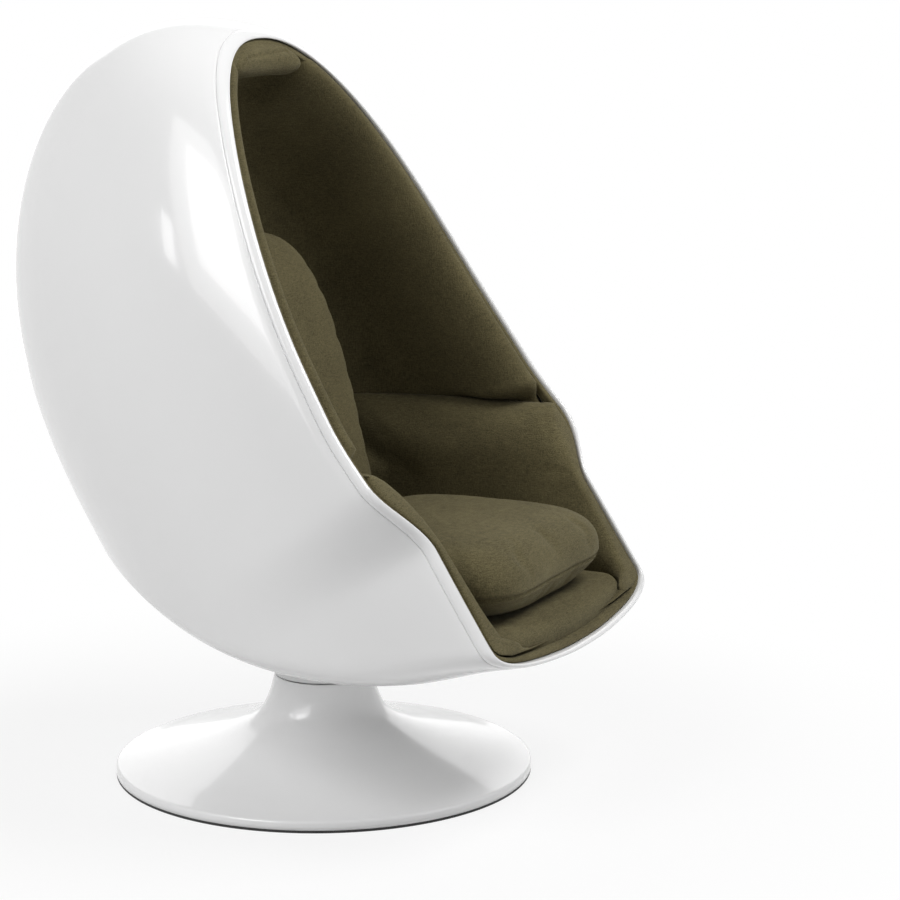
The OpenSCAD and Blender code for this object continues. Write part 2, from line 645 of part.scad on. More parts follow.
module ball_cage()
    color(black_rubber)
        difference() {
            translate([0, 0, ball_mid_z - cage_t/2])
                rotate_extrude($fn = 96)
                    translate([ball_circle_r - cage_half_w, 0])
                        square([2*cage_half_w, cage_t]);
            for (i = [0:ball_count - 1])
                rotate([0, 0, 360*i/ball_count])
                    translate([ball_circle_r, 0, ball_mid_z - cage_t/2 - over])
                        cylinder(r = ball_r + run_gap, h = cage_t + 2*over, $fn = 32);
        }
module column_head()
    color(dark_steel)
        translate([0, 0, head_top - head_t])
            difference() {
                cylinder(r = head_r, h = head_t, $fn = 72);
                translate([0, 0, -over])
                    cylinder(r = spindle_r, h = head_t + 2*over, $fn = 48);
            }
// Spindle: a turned pin welded into the column's head
spindle_foot_t = 10;
nut_h = 12;
washer_t = 3;
washer_r = 24;
washer_room = 2;
nut_flat_r = 17;
spindle_end = 4;
module spindle()
    color(steel) {
        translate([0, 0, head_top - head_t - spindle_foot_t])
            cylinder(r = column_r - column_wall - seat_gap, h = spindle_foot_t, $fn = 48);
        translate([0, 0, head_top - head_t - over])
            cylinder(r = spindle_r, h = plate_top + washer_t + nut_h + spindle_end
                - head_top + head_t + over, $fn = 48);
    }
module swivel_plate()
    color(dark_steel)
        translate([0, 0, plate_base])
            difference() {
                cylinder(r = plate_r, h = plate_t, $fn = 72);
                translate([0, 0, -over])
                    cylinder(r = spindle_r + run_gap, h = plate_t + 2*over, $fn = 48);
                for (p = bolt_places)
                    translate([p.x, p.y, -over])
                        cylinder(r = bolt_r + seat_gap, h = plate_t + 2*over, $fn = 32);
            }
module spindle_washer()
    color(steel)
        translate([0, 0, plate_top + run_gap])
            difference() {
                cylinder(r = washer_r, h = washer_t - run_gap, $fn = 48);
                translate([0, 0, -over])
                    cylinder(r = spindle_r + run_gap, h = washer_t + 2*over, $fn = 48);
            }
module spindle_nut()
    color(steel)
        translate([0, 0, plate_top + washer_t])
            difference() {
                cylinder(r = nut_flat_r, h = nut_h, $fn = 6);
                translate([0, 0, -over])
                    cylinder(r = spindle_r, h = nut_h + 2*over, $fn = 48);
            }
bolt_circle_r = 69;
bolt_count = 6;
bolt_l = 26;
bolt_head_r = 6.5;
bolt_head_h = 5;
bolt_places = [for (i = [0:bolt_count - 1])
    let (a = 360*(i + 0.5)/bolt_count) [bolt_circle_r*cos(a), bolt_circle_r*sin(a)]];
module plate_bolts()
    color(steel)
        for (p = bolt_places)
            translate([p.x, p.y, plate_base]) {
                translate([0, 0, -bolt_head_h])
                    cylinder(r = bolt_head_r, h = bolt_head_h, $fn = 6);
                translate([0, 0, -over])
                    cylinder(r = bolt_r, h = bolt_l + over, $fn = 32);
            }

// Mounting block: flat below, fitted to the egg above, pocketed for the nut
block_r = plate_r;
mount_n = 36;
module mounting_block()
    color(birch)
        difference() {
            ring_stack(concat(
                [[for (i = [0:mount_n - 1]) let (a = 360*i/mount_n)
                    [block_r*cos(a), block_r*sin(a), plate_top]]],
                [for (r = [block_r, block_r/2]) [for (i = [0:mount_n - 1])
                    let (a = 360*i/mount_n, x = r*cos(a), y = r*sin(a))
                    [x, y, under_z(x, y, 0) - boss_top_gap]]]));
            translate([0, 0, plate_top - over])
                cylinder(r = washer_r + washer_room,
                    h = washer_t + nut_h + spindle_end + washer_room + over, $fn = 48);
            for (p = bolt_places)
                translate([p.x, p.y, plate_top - over])
                    cylinder(r = bolt_r, h = bolt_l - plate_t + over, $fn = 32);
        }

// Pedestal: a spun trumpet with an upright edge
trumpet_shares = [[0.905, 0.04], [0.81, 0.085], [0.66, 0.155], [0.50, 0.235], [0.35, 0.32],
    [0.24, 0.4], [0.155, 0.48], [0.08, 0.6], [0.03, 0.79], [0, 1]];
rim_round = 3;
flare_base = rubber_h + edge_h;
function flare(share, inset) = [mix(neck_r, disc_r - rim_round, share[0]) - inset*share_out(share[1]),
    mix(flare_base, neck_top, share[1]) - inset*share_up(share[1])];
function share_out(t) = min(1, 0.25 + 1.1*t);
function share_up(t) = t >= 1 ? 0 : max(0.15, 1 - 1.1*t);
module pedestal_skin()
    color(white_gloss)
        rotate_extrude($fn = 128)
            polygon(concat(
                [[disc_r - skin_t, rubber_h], [disc_r, rubber_h], [disc_r, flare_base - rim_round],
                    [disc_r - rim_round, flare_base]],
                [for (s = trumpet_shares) flare(s, 0)],
                [for (i = [len(trumpet_shares) - 1:-1:0]) flare(trumpet_shares[i], skin_t)],
                [[disc_r - skin_t, flare_base - skin_t]]));
rubber_w = 9;
rubber_edge = 1;
module rubber_ring()
    color(black_rubber)
        rotate_extrude($fn = 128)
            polygon([[disc_r - rubber_w, 0], [disc_r - rubber_edge, 0], [disc_r, rubber_edge],
                [disc_r, rubber_h], [disc_r - rubber_w, rubber_h]]);
ballast_gap = 1;
ballast_r = disc_r - skin_t - ballast_gap;
module ballast_plate()
    color(dark_steel)
        translate([0, 0, rubber_h + seat_gap])
            difference() {
                cylinder(r = ballast_r, h = ballast_t, $fn = 128);
                for (p = foot_screw_places)
                    translate([p.x, p.y, -over])
                        cylinder(r = bolt_r + seat_gap, h = ballast_t + 2*over, $fn = 32);
            }
ballast_top = rubber_h + seat_gap + ballast_t;
clip_r = disc_r*0.9;
clip_h = 6.4;
clip_d = 24;
clip_w = 18;
foot_head_z = 1;
foot_screw_places = [for (i = [0:3]) let (a = 45 + 90*i) [clip_r*cos(a), clip_r*sin(a)]];
module skin_clips()
    color(dark_steel)
        for (i = [0:3])
            rotate([0, 0, 45 + 90*i])
                translate([clip_r - clip_d/2, -clip_w/2, ballast_top])
                    difference() {
                        cube([clip_d, clip_w, clip_h]);
                        translate([clip_d/2, clip_w/2, -over])
                            cylinder(r = bolt_r, h = clip_h - over, $fn = 32);
                    }
module ballast_screws()
    color(steel)
        for (p = foot_screw_places)
            translate([p.x, p.y, foot_head_z])
                union() {
                    cylinder(r = bolt_head_r, h = rubber_h + seat_gap - foot_head_z, $fn = 32);
                    cylinder(r = bolt_r, h = ballast_top + clip_h/2 - foot_head_z, $fn = 32);
                }
module column_tube()
    color(dark_steel)
        translate([0, 0, ballast_top])
            difference() {
                cylinder(r = column_r, h = head_top - head_t - ballast_top, $fn = 72);
                translate([0, 0, -over])
                    cylinder(r = column_r - column_wall,
                        h = head_top - head_t - ballast_top + 2*over, $fn = 72);
            }
gusset_t = 5;
gusset_l = 90;
gusset_h = 62;
gusset_toe = 12;
module column_gussets()
    color(dark_steel)
        for (a = [0:90:270])
            rotate([0, 0, a])
                translate([column_r, gusset_t/2, ballast_top])
                    rotate([90, 0, 0])
                        linear_extrude(height = gusset_t)
                            polygon([[0, 0], [gusset_l, 0], [gusset_l, gusset_toe],
                                [gusset_toe, gusset_h], [0, gusset_h]]);

pedestal_skin();
rubber_ring();
ballast_plate();
ballast_screws();
skin_clips();
column_tube();
column_gussets();
column_head();
lower_race();
spindle();
ball_cage();
bearing_balls();
upper_race();
swivel_plate();
spindle_washer();
spindle_nut();
plate_bolts();
mounting_block();
shell_boss();
shell();
mouth_bead();
border_roll();
lining();
board_blocks();
board_screws();
seat_board();
seat_deck();
arm_pad(1);  // arm_pad_left
arm_pad(-1);  // arm_pad_right
seat_cushion();
back_cushion();
seat_zip();
back_zip();
head_pad();
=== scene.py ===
# %% [markdown]
# # A pod chair, dressed
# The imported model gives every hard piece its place. This lesson lays smooth
# skins, felt upholstery and finishes over it, one piece at a time, and then
# sets up the floor, the lights and the camera.

# %% Load the frame
import bpy, bmesh, json, math
from mathutils import Matrix, Vector


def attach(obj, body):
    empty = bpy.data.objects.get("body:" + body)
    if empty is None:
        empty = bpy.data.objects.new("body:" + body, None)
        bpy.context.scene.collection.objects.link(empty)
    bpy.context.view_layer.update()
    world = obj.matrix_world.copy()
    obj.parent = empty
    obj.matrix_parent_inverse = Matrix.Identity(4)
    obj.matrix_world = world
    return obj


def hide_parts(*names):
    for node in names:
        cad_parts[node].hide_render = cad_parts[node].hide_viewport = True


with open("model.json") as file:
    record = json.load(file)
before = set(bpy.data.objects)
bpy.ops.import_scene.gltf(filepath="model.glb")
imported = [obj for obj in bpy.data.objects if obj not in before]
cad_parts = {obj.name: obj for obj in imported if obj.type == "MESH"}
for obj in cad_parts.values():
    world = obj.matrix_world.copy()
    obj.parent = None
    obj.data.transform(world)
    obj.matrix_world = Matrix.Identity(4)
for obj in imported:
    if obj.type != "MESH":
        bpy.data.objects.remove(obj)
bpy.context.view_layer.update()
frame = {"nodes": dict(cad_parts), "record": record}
nodes = frame["nodes"]

# %% [markdown]
# The chair's shell is an egg cut by a plane that leans back. It has no flat
# side to measure from, so every piece near it is placed by one rule: an angle
# round the mouth, a way behind the mouth's plane, and a way in from the edge.
# The same sizes as in the part's source stand here, in millimetres.

# %% Sizes of the egg
LIP_HEIGHT, LIP_FORWARD, TILT = 293.0, 485.0, math.radians(32.5)
MOUTH_HALF_W, CROWN_REACH, FOOT_REACH = 418.0, 1130.0, 82.0
SHELL_DEPTH, FOOT_PINCH, WALL = 713.0, 81.0, 6.0
MOUTH_CENTRE, HEEL_REACH = FOOT_REACH * 0.72, FOOT_REACH * 1.23
BELLY_DEPTH, POLE_RISE = SHELL_DEPTH * 0.286, SHELL_DEPTH * 0.78
FOOT_FADE, PINCH_FADE = SHELL_DEPTH * 0.38, SHELL_DEPTH * 0.67
STEP_TOP, STEP_H = CROWN_REACH * 0.324, CROWN_REACH * 0.12
RING_POWER, RING_ROOT, RING_SLOPE = 2.15, 0.556, 0.219
RISE_TERMS = (0.637, -0.218, 0.581)
TOP_POWER, FOOT_POWER, HEEL_POWER = 2.28, 2.5, 2.48
MM = 0.001


def mix(a, b, t):
    return a + (b - a) * t


def clamp(t, low=0.0, high=1.0):
    return min(max(t, low), high)


def smooth_step(t):
    t = clamp(t)
    return t * t * (3 - 2 * t)


def signed_pow(b, p):
    return math.copysign(abs(b) ** p, b)


def ring_share(k, depth):
    u = (k - BELLY_DEPTH) / (depth - BELLY_DEPTH)
    return max(0.0, 1 - abs(u) ** RING_POWER) ** RING_ROOT * (1 - RING_SLOPE * u)


def ring_rise(k):
    f = k / SHELL_DEPTH
    return POLE_RISE * (RISE_TERMS[0] * f + RISE_TERMS[1] * f * f + RISE_TERMS[2] * f ** 3)


def pinch(x, s, k):
    t = abs(x) / (MOUTH_HALF_W / 2)
    soft = t / (1 + t ** 8) ** 0.125
    return FOOT_PINCH * smooth_step((STEP_TOP - s) / STEP_H) * max(0.0, 1 - k / PINCH_FADE) ** 2 * soft


def to_frame(x, s, k):
    """From the mouth's own axes, in millimetres, to the frame, in metres."""
    return Vector((x, -LIP_FORWARD + s * math.sin(TILT) + k * math.cos(TILT),
                   LIP_HEIGHT + s * math.cos(TILT) - k * math.sin(TILT))) * MM


def egg(a, k, e):
    """Place on the egg: angle a round, k behind the mouth, e in from the skin."""
    q, f = ring_share(k, SHELL_DEPTH - e), smooth_step(k / FOOT_FADE)
    top = math.cos(a) >= 0
    reach = (CROWN_REACH if top else mix(FOOT_REACH, HEEL_REACH, f)) - e
    power = TOP_POWER if top else mix(FOOT_POWER, HEEL_POWER, f)
    x = (MOUTH_HALF_W - e) * q * signed_pow(math.sin(a), 2 / power)
    s = MOUTH_CENTRE + ring_rise(k) + reach * q * signed_pow(math.cos(a), 2 / power)
    return to_frame(x - math.copysign(pinch(x, s, k), x), s, k)


def half_width(y, z, e):
    """Half width of the egg at a height and depth of the frame, in millimetres."""
    s = (y + LIP_FORWARD) * math.sin(TILT) + (z - LIP_HEIGHT) * math.cos(TILT)
    k = (y + LIP_FORWARD) * math.cos(TILT) - (z - LIP_HEIGHT) * math.sin(TILT)
    q, f = ring_share(k, SHELL_DEPTH - e), smooth_step(k / FOOT_FADE)
    rel = s - MOUTH_CENTRE - ring_rise(k)
    reach = (CROWN_REACH if rel >= 0 else mix(FOOT_REACH, HEEL_REACH, f)) - e
    power = TOP_POWER if rel >= 0 else mix(FOOT_POWER, HEEL_POWER, f)
    x = (MOUTH_HALF_W - e) * q * max(0.0, 1 - (abs(rel) / (reach * max(q, 1e-6))) ** power) ** (1 / power)
    return max(0.0, x - pinch(x, s, k))


# %% [markdown]
# The mouth isn't quite flat. Beside the arms its edge bows back, and at the
# crown it leans forward, as on the real mould, where this stiffens the edge.
# The lip under the seat rises a little. These could be drawn into each piece,
# but one rule that shifts every finished piece keeps their fit.

# %% The bow of the mouth
BOW_BACK, BOW_FROM, BOW_RUN = 23.0, 280.2, 189.8
CROWN_TURN, TURN_FROM, TURN_RUN = 40.0, 560.5, 589.9
LIP_LIFT, LIFT_FROM, LIFT_RUN = 9.0, -40.0, 110.0
EDGE_KEEP, BOW_FADE, LIFT_FADE = 20.0, 221.0, 150.0


def mouth_axes(p):
    """A place of the frame, in metres, on the mouth's own axes, in millimetres."""
    y, z = p.y / MM + LIP_FORWARD, p.z / MM - LIP_HEIGHT
    return y * math.sin(TILT) + z * math.cos(TILT), y * math.cos(TILT) - z * math.sin(TILT)


def bow_way(p):
    s, k = mouth_axes(p)
    way = BOW_BACK * smooth_step((s - BOW_FROM) / BOW_RUN)
    way -= CROWN_TURN * smooth_step((s - TURN_FROM) / TURN_RUN)
    return way * (1 - smooth_step((k - EDGE_KEEP) / BOW_FADE)) * MM


def lip_rise(p):
    low = 1 - smooth_step((p.z / MM - LIP_HEIGHT - LIFT_FROM) / LIFT_RUN)
    return LIP_LIFT * low * (1 - smooth_step((mouth_axes(p)[1] - EDGE_KEEP) / LIFT_FADE)) * MM


def bow(p):
    return Vector((p.x, p.y + bow_way(p), p.z + lip_rise(p)))


# %% [markdown]
# Points round the mouth are spread by the length of the edge, not by angle.
# Otherwise they would crowd at the crown and leave the front corners coarse.

# %% Even steps round the mouth
def even_angles(count):
    fine = [2 * math.pi * i / 2880 - math.pi for i in range(2881)]
    run, runs = 0.0, [0.0]
    last = egg(fine[0], 0, 0)
    for a in fine[1:]:
        here = egg(a, 0, 0)
        run += (here - last).length
        runs.append(run)
        last = here
    out, j = [], 0
    for i in range(count):
        want = run * i / count
        while runs[j + 1] < want:
            j += 1
        t = (want - runs[j]) / (runs[j + 1] - runs[j])
        out.append(mix(fine[j], fine[j + 1], t))
    return out, run


ANGLES, mouth_run = even_angles(288)
print(f"the mouth's edge is {mouth_run:.3f} m round")


# %% [markdown]
# Most skins here grow the same way: a circle of points is laid on its first
# line, then its edges are extruded from line to line. This keeps the mesh in
# clean loops, so seams and rounded edges land exactly where they should.

# %% Growing a mesh from loops
def first_loop(bm, places):
    made = bmesh.ops.create_circle(bm, segments=len(places), radius=1.0)
    for v, p in zip(made["verts"], places):
        v.co = p
    return made["verts"]


def loop_edges(bm, loop):
    return [bm.edges.get((loop[i - 1], loop[i])) for i in range(len(loop))]


def next_loop(bm, loop, places):
    made = bmesh.ops.extrude_edge_only(bm, edges=loop_edges(bm, loop))
    fresh = {g for g in made["geom"] if isinstance(g, bmesh.types.BMVert)}
    out = [next(e.other_vert(v) for e in v.link_edges if e.other_vert(v) in fresh) for v in loop]
    for v, p in zip(out, places):
        v.co = p
    return out


def grow(bm, lines):
    loop = first_loop(bm, lines[0])
    start = loop
    for places in lines[1:]:
        loop = next_loop(bm, loop, places)
    return start, loop


def close_end(bm, loop):
    faces = bmesh.ops.edgeloop_fill(bm, edges=loop_edges(bm, loop))["faces"]
    bmesh.ops.poke(bm, faces=faces)


def grow_closed(bm, lines):
    for loop in grow(bm, lines):
        close_end(bm, loop)


def make_piece(bm, name, body, outwards=True):
    if outwards:
        bmesh.ops.recalc_face_normals(bm, faces=bm.faces)
    for v in bm.verts:
        v.co = bow(v.co)
    mesh = bpy.data.meshes.new(name)
    bm.to_mesh(mesh)
    bm.free()
    piece = bpy.data.objects.new(name, mesh)
    bpy.context.scene.collection.objects.link(piece)
    mesh.polygons.foreach_set("use_smooth", [True] * len(mesh.polygons))
    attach(piece, body)
    print(name, len(mesh.polygons), "faces")
    return piece


# %% [markdown]
# The finishes come next, because every piece takes one as it is made. A small
# helper adds a node, sets its inputs and links it, to keep each recipe short.

# %% A recipe helper
def recipe(name):
    mat = bpy.data.materials.new(name)
    mat.use_nodes = True
    tree = mat.node_tree
    shader = tree.nodes["Principled BSDF"]

    def add(kind, **inputs):
        node = tree.nodes.new(kind)
        for key, value in inputs.items():
            if hasattr(node, key):
                setattr(node, key, value)
            else:
                put(node, key.replace("_", " "), value)
        return node

    def put(node, key, value):
        socket = node.inputs[int(key[1:])] if key[0] == "i" and key[1:].isdigit() else node.inputs[key]
        if isinstance(value, bpy.types.NodeSocket):
            tree.links.new(value, socket)
        else:
            socket.default_value = value
        return socket

    return mat, shader, add, put


def place_of(add, scale=(1, 1, 1), turn=(0, 0, 0)):
    where = add("ShaderNodeTexCoord")
    fit = add("ShaderNodeMapping", Vector=where.outputs["Object"], Scale=scale, Rotation=turn)
    return fit.outputs["Vector"]


def ramp(add, value, stops):
    node = add("ShaderNodeValToRGB", Fac=value)
    keys = node.color_ramp.elements
    for i, (at, colour) in enumerate(stops):
        key = keys[i] if i < 2 else keys.new(at)
        key.position, key.color = at, (*colour, 1)
    return node.outputs["Color"]


# %% [markdown]
# The shell is glass fibre with a polished white gelcoat. Gelcoat is never a
# perfect mirror: it has a faint orange-peel ripple, a slightly uneven white,
# and a clear, glossy top. The coat of the shader gives that top layer.

# %% White gelcoat and white enamel
def gloss_white(name, colour, ripple, coat):
    mat, shader, add, put = recipe(name)
    cloudy = add("ShaderNodeTexNoise", Vector=place_of(add), Scale=3.2, Detail=3.0, Roughness=0.5)
    tone = ramp(add, cloudy.outputs["Fac"],
                [(0.3, tuple(c * 0.985 for c in colour)), (0.7, colour)])
    put(shader, "Base Color", tone)
    dust = add("ShaderNodeTexNoise", Vector=place_of(add), Scale=14.0, Detail=6.0, Roughness=0.6)
    rough = add("ShaderNodeMapRange", Value=dust.outputs["Fac"], To_Min=0.13, To_Max=0.2)
    put(shader, "Roughness", rough.outputs["Result"])
    peel = add("ShaderNodeTexNoise", Vector=place_of(add), Scale=46.0, Detail=1.0, Roughness=0.4)
    bump = add("ShaderNodeBump", Height=peel.outputs["Fac"], Strength=ripple, Distance=0.0006)
    put(shader, "Normal", bump.outputs["Normal"])
    put(shader, "Coat Weight", coat)
    put(shader, "Coat Roughness", 0.03)
    put(shader, "IOR", 1.5)
    return mat


gelcoat = gloss_white("white_gelcoat", (0.80, 0.80, 0.80), 0.05, 0.35)
enamel = gloss_white("white_enamel", (0.92, 0.92, 0.92), 0.03, 0.5)


# %% [markdown]
# The upholstery is a dense wool felt in olive brown. From near by it is a
# melange: dark and light fibres lie mixed, with a faint woven grain under
# the nap. Three noises give the flecks, the grain and the slow change of tone,
# and a little sheen gives the soft bright edge that wool shows.

# %% Olive wool felt
def wool(name, dark, light, grain=1.0):
    mat, shader, add, put = recipe(name)
    fleck = add("ShaderNodeTexNoise", Vector=place_of(add), Scale=420.0, Detail=3.0, Roughness=0.7)
    across = add("ShaderNodeTexNoise", Vector=place_of(add, (90, 90, 760)), Scale=1.0, Detail=2.0,
                 Roughness=0.6)
    along = add("ShaderNodeTexNoise", Vector=place_of(add, (700, 700, 100)), Scale=1.0, Detail=2.0,
                Roughness=0.6)
    slow = add("ShaderNodeTexNoise", Vector=place_of(add), Scale=9.0, Detail=4.0, Roughness=0.6)
    weave = add("ShaderNodeMath", operation="ADD", i0=across.outputs["Fac"], i1=along.outputs["Fac"])
    mixed = add("ShaderNodeMath", operation="MULTIPLY_ADD", i0=fleck.outputs["Fac"], i1=1.3,
                i2=weave.outputs["Value"])
    total = add("ShaderNodeMath", operation="MULTIPLY_ADD", i0=slow.outputs["Fac"], i1=0.7,
                i2=mixed.outputs["Value"])
    value = add("ShaderNodeMapRange", Value=total.outputs["Value"], From_Min=1.45, From_Max=2.55)
    mid = tuple(mix(d, l, 0.5) for d, l in zip(dark, light))
    put(shader, "Base Color", ramp(add, value.outputs["Result"], [(0.0, dark), (1.0, light), (0.5, mid)]))
    put(shader, "Roughness", 0.95)
    put(shader, "Specular IOR Level", 0.2)
    put(shader, "Sheen Weight", 0.15)
    put(shader, "Sheen Roughness", 0.5)
    put(shader, "Sheen Tint", (0.62, 0.6, 0.45, 1))
    nap = add("ShaderNodeBump", Height=mixed.outputs["Value"], Strength=0.55 * grain, Distance=0.0009)
    put(shader, "Normal", nap.outputs["Normal"])
    return mat


felt = wool("olive_felt", (0.042, 0.0345, 0.0155), (0.172, 0.146, 0.071))
felt_thread = wool("olive_thread", (0.05, 0.042, 0.02), (0.10, 0.086, 0.042), grain=0.4)


# %% [markdown]
# The shell is one moulded egg. Rings of points run from the tip at the back
# out to the mouth, turn over a rounded edge and run back inside, so the wall
# has a real thickness. A last touch smooths the two tips.

# %% The moulded egg shell
OUTER_RINGS, INNER_RINGS, FIRST_RING, LAST_RING = 64, 36, 2.0, 0.9995
ROUND_EDGE = [(0.5, 0.7), (1.5, 0.1), (3.0, 0.0), (4.6, 0.1), (5.6, 0.8)]
TIP_R = 0.09


def egg_ring(t, depth, e):
    """A ring of the skin; t runs from 0 at the mouth to 1 at the tip."""
    return [egg(a, max(depth * math.sin(math.pi / 2 * t) * LAST_RING, FIRST_RING), e) for a in ANGLES]


def build_shell():
    bm = bmesh.new()
    outer = [egg_ring(j / OUTER_RINGS, SHELL_DEPTH, 0) for j in range(OUTER_RINGS, -1, -1)]
    edge = [[egg(a, k, e) for a in ANGLES] for e, k in ROUND_EDGE]
    inner = [egg_ring(j / INNER_RINGS, SHELL_DEPTH - WALL, WALL) for j in range(INNER_RINGS + 1)]
    grow_closed(bm, outer + edge + inner)
    tips = [v for v in bm.verts if (v.co - egg(0, SHELL_DEPTH - 0.5, 0)).length < TIP_R]
    for _ in range(6):
        bmesh.ops.smooth_vert(bm, verts=tips, factor=0.5, use_axis_x=True, use_axis_y=True, use_axis_z=True)
    return make_piece(bm, "egg_shell", "pod")


shell = build_shell()
shell.data.materials.append(gelcoat)
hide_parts("shell")


# %% [markdown]
# Three rings follow the mouth with the same rule and different sections: the
# proud white bead that caps the shell's edge, the felt roll inside it, and
# the lining's own rim. A curve with a bevel would twist at the corners, so a
# section is a short list of ways in from the edge and ways behind the mouth.

# %% A ring that follows the mouth
def mouth_ring(name, section, material, node):
    bm = bmesh.new()
    start, end = grow(bm, [[egg(a, k, e) for a in ANGLES] for e, k in section])
    bmesh.ops.bridge_loops(bm, edges=loop_edges(bm, start) + loop_edges(bm, end))
    piece = make_piece(bm, name, "pod")
    piece.data.materials.append(material)
    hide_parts(node)
    return piece


BEAD_LINE = [(4.2, 1.9), (3.0, 0.2), (1.2, -1.0), (0.35, -2.8), (0.0, -5.6), (0.7, -9.2), (2.3, -12.4),
             (4.6, -14.3), (7.2, -14.6), (9.6, -13.0), (11.2, -9.6), (11.9, -5.4), (11.9, -0.8), (10.8, 1.2),
             (7.5, 2.1)]
bead = mouth_ring("rim_bead", BEAD_LINE, gelcoat, "mouth_bead")


# %% [markdown]
# The felt roll that borders the mouth is a strip folded over a cord and
# tacked behind the bead. It is barely wider than a finger. A soft square
# section gives the flat face that the light catches.

# %% The felt border roll
ROLL_POINTS = 28


def roll_section(mid_e, mid_k, half_w, half_t):
    out = []
    for i in range(ROLL_POINTS):
        t = 2 * math.pi * i / ROLL_POINTS
        out.append((mid_e + half_w * signed_pow(math.cos(t), 0.75),
                    mid_k + half_t * signed_pow(math.sin(t), 0.75)))
    return out


border = mouth_ring("rim_border", roll_section(19.5, 1.5, 7.5, 10.5), felt, "border_roll")


# %% [markdown]
# The lining is felt over foam. It follows the shell at the sides and cuts
# across behind the cushions. Its front rim is a thick soft roll, as proud as
# the bead, that falls back into the dark hood. The rim is made by moving the
# grid in the plane across the mouth's edge, along a short drawn profile.

# %% Rules of the lining
LINING_K, LINING_E, LINING_DEPTH, DECK_TOP, ARM_TOP = 13.01, 35.2, 505.0, 345.0, 618.0
LINING_BASE = DECK_TOP + 0.3
LINING_ROWS, LINING_COLS, ROW_CROWD, COL_CROWD = 150, 240, 1.3, 0.45
LINING_CROWN = MOUTH_CENTRE + (CROWN_REACH - LINING_E) * ring_share(LINING_K, SHELL_DEPTH - LINING_E) \
    + ring_rise(LINING_K)
CROWN_Z = to_frame(0, LINING_CROWN, LINING_K).z / MM
FOOT_UP = (LINING_BASE - LIP_HEIGHT + LINING_DEPTH * math.sin(TILT)) / math.cos(TILT)


def mouth_y(z, k):
    return -LIP_FORWARD + ((z - LIP_HEIGHT) * math.sin(TILT) + k) / math.cos(TILT)


def lining_back(climb):
    s = mix(FOOT_UP, LINING_CROWN, climb)
    k = LINING_K + (LINING_DEPTH - LINING_K) * max(0.0, 1 - climb ** 4) ** 0.4 * (1 - 0.5 * climb)
    p = to_frame(0, s, k) / MM
    return p.y, p.z


def lining_power(z):
    return mix(3.4, 2.2, smooth_step((z - DECK_TOP) / (CROWN_Z - DECK_TOP)))


def lining_row(climb):
    back, z = lining_back(climb)
    front = mouth_y(z, LINING_K)
    rim, p = half_width(front, z, LINING_E), lining_power(z)
    row = []
    for i in range(LINING_COLS + 1):
        u = 2 * i / LINING_COLS - 1
        t = math.pi / 2 * ((1 + COL_CROWD) * u - COL_CROWD * u ** 3)
        s, c = math.sin(t), math.cos(t)
        r = (abs(s) ** p + abs(c) ** p) ** (-1 / p)
        row.append(Vector((rim * r * s, mix(front, back, r * c), z)) * MM)
    return row


print(f"the lining's crown is at {CROWN_Z:.1f} mm")


# %% [markdown]
# The rim of the lining is a roll of thicker foam. It could be a ring of its
# own, but the felt runs over it in one piece. So a drawn profile says how far
# each point near the edge moves in and back, and a tree of points on the edge
# finds the nearest one and which way inwards is there.

# %% The rim's profile
from mathutils.kdtree import KDTree


def smooth_line(points, steps):
    """A Catmull-Rom curve through the points, with even steps between them."""
    out = []
    for i in range(len(points) - 1):
        four = [points[clamp(j, 0, len(points) - 1)] for j in range(i - 1, i + 3)]
        for j in range(steps):
            t = j / steps
            out.append(tuple(0.5 * (2 * b + (c - a) * t + (2 * a - 5 * b + 4 * c - d) * t * t
                                    + (3 * b - a - 3 * c + d) * t ** 3) for a, b, c, d in zip(*four)))
    return out + [points[-1]]


# Way from the edge, then how far the roll moves a point inwards and backwards
RIM_ROLL = smooth_line([(0, -7.5, -4), (3, -7, -15), (6, -4, -25), (9, 1.5, -32), (13, 8.5, -38.5),
                        (17, 16.5, -42.5), (22, 24.5, -44), (28, 32, -41.5), (35, 38, -36), (43, 42, -28),
                        (54, 43.5, -19), (70, 40.5, -9), (94, 32.5, -4), (126, 20.5, -2), (160, 8.5, 0),
                        (195, 0, 0)], 6)


def rim_move(d):
    for (d0, e0, k0), (d1, e1, k1) in zip(RIM_ROLL, RIM_ROLL[1:]):
        if d0 <= d <= d1:
            f = (d - d0) / (d1 - d0)
            return mix(e0, e1, f), mix(k0, k1, f)
    return 0.0, 0.0


def rim_tree():
    fine, _ = even_angles(2160)
    tree, frames = KDTree(len(fine)), []
    for i, a in enumerate(fine):
        here = egg(a, LINING_K, LINING_E)
        inwards = (egg(a, LINING_K, LINING_E + 4) - here).normalized()
        behind = Vector((0, math.cos(TILT), -math.sin(TILT)))
        tree.insert(here, i)
        frames.append((inwards, behind))
    tree.balance()
    return tree, frames


RIM, RIM_FRAMES = rim_tree()


# %% [markdown]
# The lining itself is one grid, bent into the hood. Its rows crowd towards the
# crown, where they meet in one point. Below the arm rests the roll fades out,
# because there the side pads take its place, and it is weak behind the head
# pad. A Solidify modifier gives the felt and foam their thickness.

# %% Make the hood lining
ROLL_START, ROLL_GROW = ARM_TOP - 6, 26.0
CROWN_CALM, CALM_FROM, CALM_RUN, CALM_HALF_W = 0.8, 1130.0, 60.0, 0.118
LINING_WALL = 0.008


def roll_share(p):
    share = smooth_step((p.z / MM - ROLL_START) / ROLL_GROW)
    over = smooth_step((p.z / MM - CALM_FROM) / CALM_RUN) * math.exp(-(p.x / CALM_HALF_W) ** 8)
    return share * (1 - CROWN_CALM * over)


